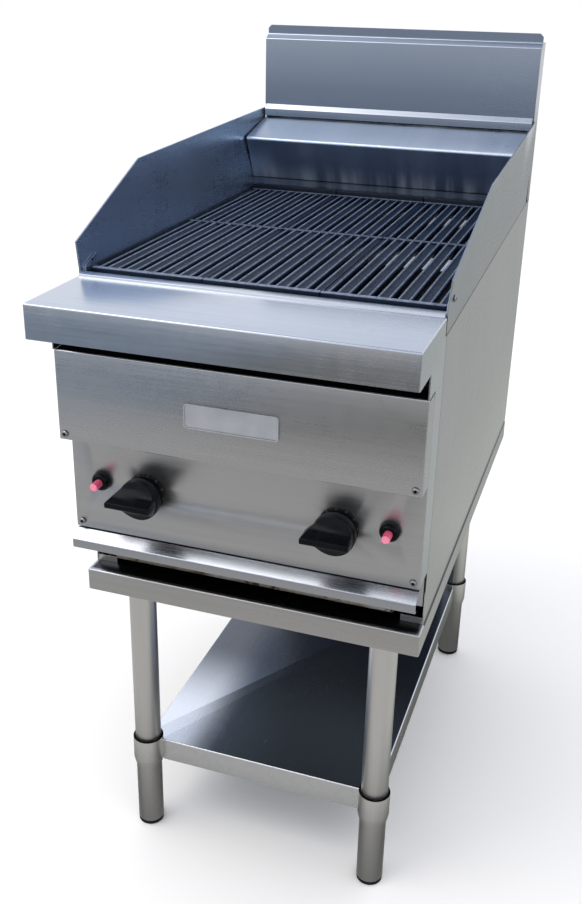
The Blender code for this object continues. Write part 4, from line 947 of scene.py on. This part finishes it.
# ----------------------------------------------------------------- controls
def make_knob(side, sign):
    """Knob with its hollow skirt and scooped grip, and the disc behind it."""
    x = sign * KNOB_X
    rear = 0.0185
    front = 0.0020
    skirt = 0.0268
    cap = rear - front
    profile = [
        (0, cap), (0.0240, cap), (0.0256, cap - 0.0004), (0.0265, cap - 0.0014),
        (skirt, cap - 0.0030), (skirt, rear - 0.0128), (skirt - 0.0006, rear - 0.0121),
        (skirt - 0.0014, rear - 0.0120), (0.0120, rear - 0.0120), (0.0120, 0.0),
        (0, 0.0),
    ]
    body = turned(profile, (x, back(rear), KNOB_Z), (0, -1, 0), 72)
    rises = [
        (-0.0220, 0.0028), (-0.0213, 0.0038), (-0.0185, 0.0044), (-0.0150, 0.0052),
        (-0.0110, 0.0068), (-0.0070, 0.0093), (-0.0035, 0.0126), (-0.0005, 0.0170),
        (0.0012, 0.0212), (0.0025, 0.0258),
    ]
    section = [(d, KNOB_Z + r) for d, r in rises]
    section += [(d, KNOB_Z - r) for d, r in reversed(rises)]
    grip = prism(section, "X", x - 0.0345, x + skirt)
    reach, nose, face = 0.0335, 0.0030, 0.0258
    outline = [(x - reach, KNOB_Z + nose), (x - reach, KNOB_Z - nose)]
    for step in range(41):
        angle = math.radians(225 + 270 * step / 40)
        outline.append((x + face * math.cos(angle), KNOB_Z + face * math.sin(angle)))
    grip = combined("INTERSECT", grip, prism(outline, "Y", back(-0.024), back(0.0045)))
    grip = softened(grip, 0.0007, 3, 32)
    node = f"knob_{side}"
    finished(f"{node}_moulding", joined(body, grip), BLACK, node, [node], sharp=30)
    disc = [
        (0.0100, 0.0034), (0.0252, 0.0034), (0.0255, 0.0030), (0.0255, 0.0012),
        (0.0251, 0.0004), (0.0243, 0.0), (0.0100, 0.0), (0.0100, 0.0034),
    ]
    mesh = turned(disc, (x, back(0.0248), KNOB_Z), (0, 1, 0), 72)
    finished(f"knob_bezel_{side}_disc", mesh, BEZEL, stands_for=[f"knob_bezel_{side}"])


def make_spring(side, sign):
    """Return spring behind the spindle, which shortens as the knob is pushed."""
    node = f"knob_spring_{side}"
    low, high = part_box(node)
    wire = 0.0004
    radius = 0.0026
    turns, per_turn, ring = 5, 14, 6
    start, end = low[1] + wire, high[1] - wire
    count = turns * per_turn
    points = []
    for index in range(count + 1):
        angle = 2 * math.pi * index / per_turn
        for corner in range(ring):
            turn = 2 * math.pi * corner / ring
            reach = radius + wire * math.cos(turn)
            points.append((
                sign * KNOB_X + reach * math.cos(angle),
                start + (end - start) * index / count + wire * math.sin(turn),
                KNOB_Z + reach * math.sin(angle),
            ))
    last = count * ring
    faces = [list(range(ring)), list(range(last + ring - 1, last - 1, -1))]
    for first in range(0, last, ring):
        for corner in range(ring):
            a, b = first + corner, first + (corner + 1) % ring
            faces.append([a, a + ring, b + ring, b])
    mesh = bpy.data.meshes.new(node)
    mesh.from_pydata(points, [], faces)
    coil = finished(f"{node}_coil", mesh, SCREW, f"valve_plug_{side}", [node])
    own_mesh(coil)


def make_igniter(side, sign):
    """Igniter body with its bezel, and the push button in it."""
    x = sign * IGNITER_X
    body = [
        (0, 0.064), (0.0090, 0.064), (0.0090, 0.0087), (0.0120, 0.0087),
        (0.0122, 0.0083), (0.0122, 0.0046), (0.0117, 0.0034), (0.0098, 0.0005),
        (0.0090, 0), (0.0055, 0), (0.0055, 0.031), (0, 0.031),
    ]
    mesh = turned(body, (x, back(0.0195), IGNITER_Z), (0, 1, 0), 56)
    finished(f"igniter_{side}_bezel", mesh, BLACK, stands_for=[f"igniter_body_{side}"])
    button = [
        (0, 0.036), (0.0052, 0.036), (0.0052, 0.0010), (0.0049, 0.0004), (0.0043, 0),
        (0, 0),
    ]
    mesh = turned(button, (x, back(0.0050), IGNITER_Z), (0, 1, 0), 40)
    node = f"igniter_button_{side}"
    finished(f"{node}_cap", mesh, RED, node, [node])


def make_screw(node, seat, axis, length):
    """Pan head with a hexagon socket."""
    outward = Vector(axis) * -1
    profile = [
        (0, 0.0022), (0.0022, 0.0022), (0.0031, 0.0019), (0.0039, 0.0012),
        (0.0043, 0.0005), (0.0043, 0), (0.0020, 0), (0.0020, -length), (0, -length),
    ]
    place = Vector(seat) + outward * GAP
    head = turned(profile, place, outward, 32)
    hexagon = [(0, 0.004), (0.0021, 0.004), (0.0021, 0.0008), (0, 0.0008)]
    head = combined("DIFFERENCE", head, turned(hexagon, place, outward, 6))

    # Painted shade: the socket's floor and the head's lowest band take the near-black slot.
    def dark(centre, normal):
        offset = centre - place
        height = offset.dot(outward)
        radius = (offset - outward * height).length
        return height < 0.0005 or (radius < 0.0020 and height < 0.0017)

    painted(head, dark)
    finished(f"{node}_head", head, [SCREW, SHADOWED], stands_for=[node], sharp=32)


# ---------------------------------------------------------------- drip tray
def make_tray():
    """Pan on its runners' hems, and the bright lip along its front."""
    depths = (back(0.060), back(0.690))
    pan = [shell((-0.193, 0.193), depths, (0.480, 0.530), [(0, 0, 1)], 0.004, 3)]
    for _, sign in SIDES:
        ends = mirrored(sign, 0.1918, 0.2085)
        pan.append(block(ends, (back(0.0604), back(0.6896)), (0.5283, 0.5299)))
    finished("drip_tray_pan", joined(*pan), GREASE, "drip_tray", ["drip_tray"])
    profile = [
        (0.0193, 0.5161), (0.0133, 0.5161), (0.0133, 0.5284), (0.0285, 0.5386),
        (0.0604, 0.5386), (0.0604, 0.500),
    ]
    lip = bent_sheet(profile, HALF - 0.0005, [0.0012, 0.0022, 0.0022, 0.0018])
    finished("drip_tray_lip", lip, LIP, "drip_tray")


# -------------------------------------------------------------------- build
make_stand()
make_undershelf()
make_ledge()
make_panels()
make_badge()
make_riser()
make_hood()
make_tray()
for index, label in enumerate(("left", "centre", "right")):
    make_grate(label, (index - 1) * (GRATE_WIDTH + 0.0008))
inward = (0, 1, 0)
for side, sign in SIDES:
    make_knob(side, sign)
    make_igniter(side, sign)
    x = sign * SCREW_X
    make_screw(f"upper_panel_screw_{side}", (x, back(0), 0.6845), inward, 0.036)
    make_screw(f"control_panel_screw_{side}", (x, back(CONTROL_FACE), 0.5490), inward, 0.010)
    seat = (sign * 0.2293, back(0.099), 0.8805)
    make_screw(f"guard_screw_{side}", seat, (-sign, 0, 0), 0.0052)
    make_spring(side, sign)
    dress(f"chassis_side_{side}", CHASSIS, 0.0005)
    dress(f"splash_guard_{side}", GUARD, 0.0005)
    dress(f"radiant_{side}", SOOTY)
    dress(f"burner_{side}", SOOTY, 0)
    dress(f"valve_spindle_{side}", SCREW, 0)
    for part in ("valve_body", "valve_plug", "pilot"):
        dress(f"{part}_{side}", BRASS, 0)
for node, material in (
    ("chassis_rear", REAR), ("firebox", FIREBOX), ("grate_support", SUPPORT),
    ("burner_rail_front", SOOTY), ("burner_rail_rear", SOOTY),
):
    dress(node, material)
dress("gas_manifold", BRASS, 0)
dress("gas_supply_pipe", BRASS, 0)


# ---------------------------------------------------------- camera and light
def make_camera():
    """Seen from the front right and above, as a person standing near it sees it."""
    azimuth = math.radians(18.68)
    elevation = math.radians(23.31)
    roll = math.radians(1.037)
    data = bpy.data.cameras.new("camera")
    data.sensor_fit = "VERTICAL"
    data.sensor_height = 36.0
    data.lens = 42.09
    data.shift_x = 0.00995
    data.shift_y = -0.0254
    data.clip_start = 0.05
    camera = added("camera", data)
    turn = Matrix.Rotation(azimuth, 4, "Z") @ Matrix.Rotation(math.pi / 2 - elevation, 4, "X")
    turn = turn @ Matrix.Rotation(roll, 4, "Z")
    camera.matrix_world = Matrix.Translation((0.4159, -1.4122, 1.2109)) @ turn
    bpy.context.scene.camera = camera


def make_floor():
    bm = bmesh.new()
    bmesh.ops.create_grid(bm, x_segments=1, y_segments=1, size=30.0)
    mesh = mesh_of(bm)
    floor = added("floor", mesh)
    mesh.materials.append(Nodes("pale floor", 0.0, (0.96, 0.935, 0.885), 0.9).material)
    floor.location.z = -0.0002


def make_card(name, mesh, paint):
    """Studio card that only glossy surfaces see, to shape their reflections."""
    card = added(name, mesh)
    n = Nodes(name)
    n.tree.nodes.remove(n.shader)
    glow = n.add("ShaderNodeEmission")
    n.set(glow.inputs["Color"], paint(n))
    output = next(node for node in n.tree.nodes if node.type == "OUTPUT_MATERIAL")
    n.tree.links.new(glow.outputs[0], output.inputs["Surface"])
    mesh.materials.append(n.material)
    card.visible_camera = False
    card.visible_diffuse = False
    card.visible_shadow = False
    card.visible_transmission = False


def make_ground_card():
    """What polished sheet mirrors of the ground: warm close by, cool and dark further off."""
    def paint(n):
        x, y = n.axis("X"), n.axis("Y")
        leftward = n.span(x, -1.4, -0.45, 1.0, 0.0, True)
        away = n.mix(leftward, (0.15, 0.15, 0.145), (0.19, 0.24, 0.32))
        middle = n.mix(leftward, (0.46, 0.45, 0.45), (0.42, 0.45, 0.49))
        tone = n.mix(n.span(y, -2.1, -1.6, 0.0, 1.0, True), away, middle)
        tone = n.mix(n.span(y, -1.45, -1.15, 0.0, 1.0, True), tone, (0.46, 0.46, 0.46))
        tone = n.mix(n.span(y, -0.45, -0.15, 0.0, 1.0, True), tone, (0.47, 0.49, 0.48))
        under_width = n.span(n.positive(x), 0.20, 0.45, 1.0, 0.0, True)
        under_front = n.span(y, -0.45, -0.20, 0.0, 1.0, True)
        under_rear = n.span(y, 0.5, 0.9, 1.0, 0.0, True)
        shade = n.times(under_front, under_width, under_rear, 0.85)
        return n.mix(shade, tone, (0.04, 0.04, 0.04))

    make_card("ground card", block((-9, 9), (-9, 9), (0.0, 0.001)), paint)


def make_rear_card():
    """Dark backdrop behind the stand, mirrored by all but the left strip of the undershelf."""
    def paint(n):
        return n.mix(n.span(n.axis("Z"), 0.0, 1.2), (0.045, 0.055, 0.08), (0.05, 0.06, 0.085))

    outline = [(-0.052, 0.0), (0.24, 0.0), (0.24, 1.0), (-0.568, 1.0)]
    make_card("rear card", prism(outline, "Y", 0.8, 0.801), paint)


def make_world():
    """Bright, slightly blue horizon that dims towards the zenith."""
    world = bpy.data.worlds.new("studio")
    bpy.context.scene.world = world
    world.use_nodes = True
    tree = world.node_tree
    tree.nodes.clear()
    place = tree.nodes.new("ShaderNodeTexCoord")
    split = tree.nodes.new("ShaderNodeSeparateXYZ")
    ramp = tree.nodes.new("ShaderNodeValToRGB")
    glow = tree.nodes.new("ShaderNodeBackground")
    output = tree.nodes.new("ShaderNodeOutputWorld")
    tree.links.new(place.outputs["Generated"], split.inputs[0])
    tree.links.new(split.outputs["Z"], ramp.inputs[0])
    tree.links.new(ramp.outputs[0], glow.inputs["Color"])
    tree.links.new(glow.outputs[0], output.inputs["Surface"])
    stops = [
        (0.0, (1.0, 1.0, 1.0)), (0.05, (0.94, 0.96, 1.0)), (0.30, (0.98, 1.03, 1.15)),
        (0.48, (0.95, 1.02, 1.16)), (0.77, (0.52, 0.60, 0.78)), (1.0, (0.50, 0.57, 0.72)),
    ]
    elements = ramp.color_ramp.elements
    while len(elements) < len(stops):
        elements.new(0.5)
    for element, (position, colour) in zip(elements, stops):
        element.position = position
        element.color = (*colour, 1)


def make_key_light():
    """Large soft light from the front left and above, aimed at the body."""
    data = bpy.data.lights.new("key", "AREA")
    data.shape = "RECTANGLE"
    data.size = data.size_y = 2.4
    data.energy = 40
    data.color = (1.0, 0.98, 0.96)
    light = added("key", data)
    light.location = (-1.6, -1.2, 3.2)
    light.rotation_mode = "QUATERNION"
    way = Vector((0, 0, 0.6)) - light.location
    light.rotation_quaternion = way.to_track_quat("-Z", "Y")


def make_floor_light():
    """Wide overhead softness that lifts the floor and plastics and stays out of the steel."""
    data = bpy.data.lights.new("overhead", "SUN")
    data.energy = 1.2
    data.angle = math.radians(80)
    data.color = (1.0, 0.90, 0.78)
    added("overhead", data).visible_glossy = False


make_camera()
make_floor()
make_world()
make_ground_card()
make_rear_card()
make_key_light()
make_floor_light()
bpy.context.scene.view_settings.view_transform = "Standard"
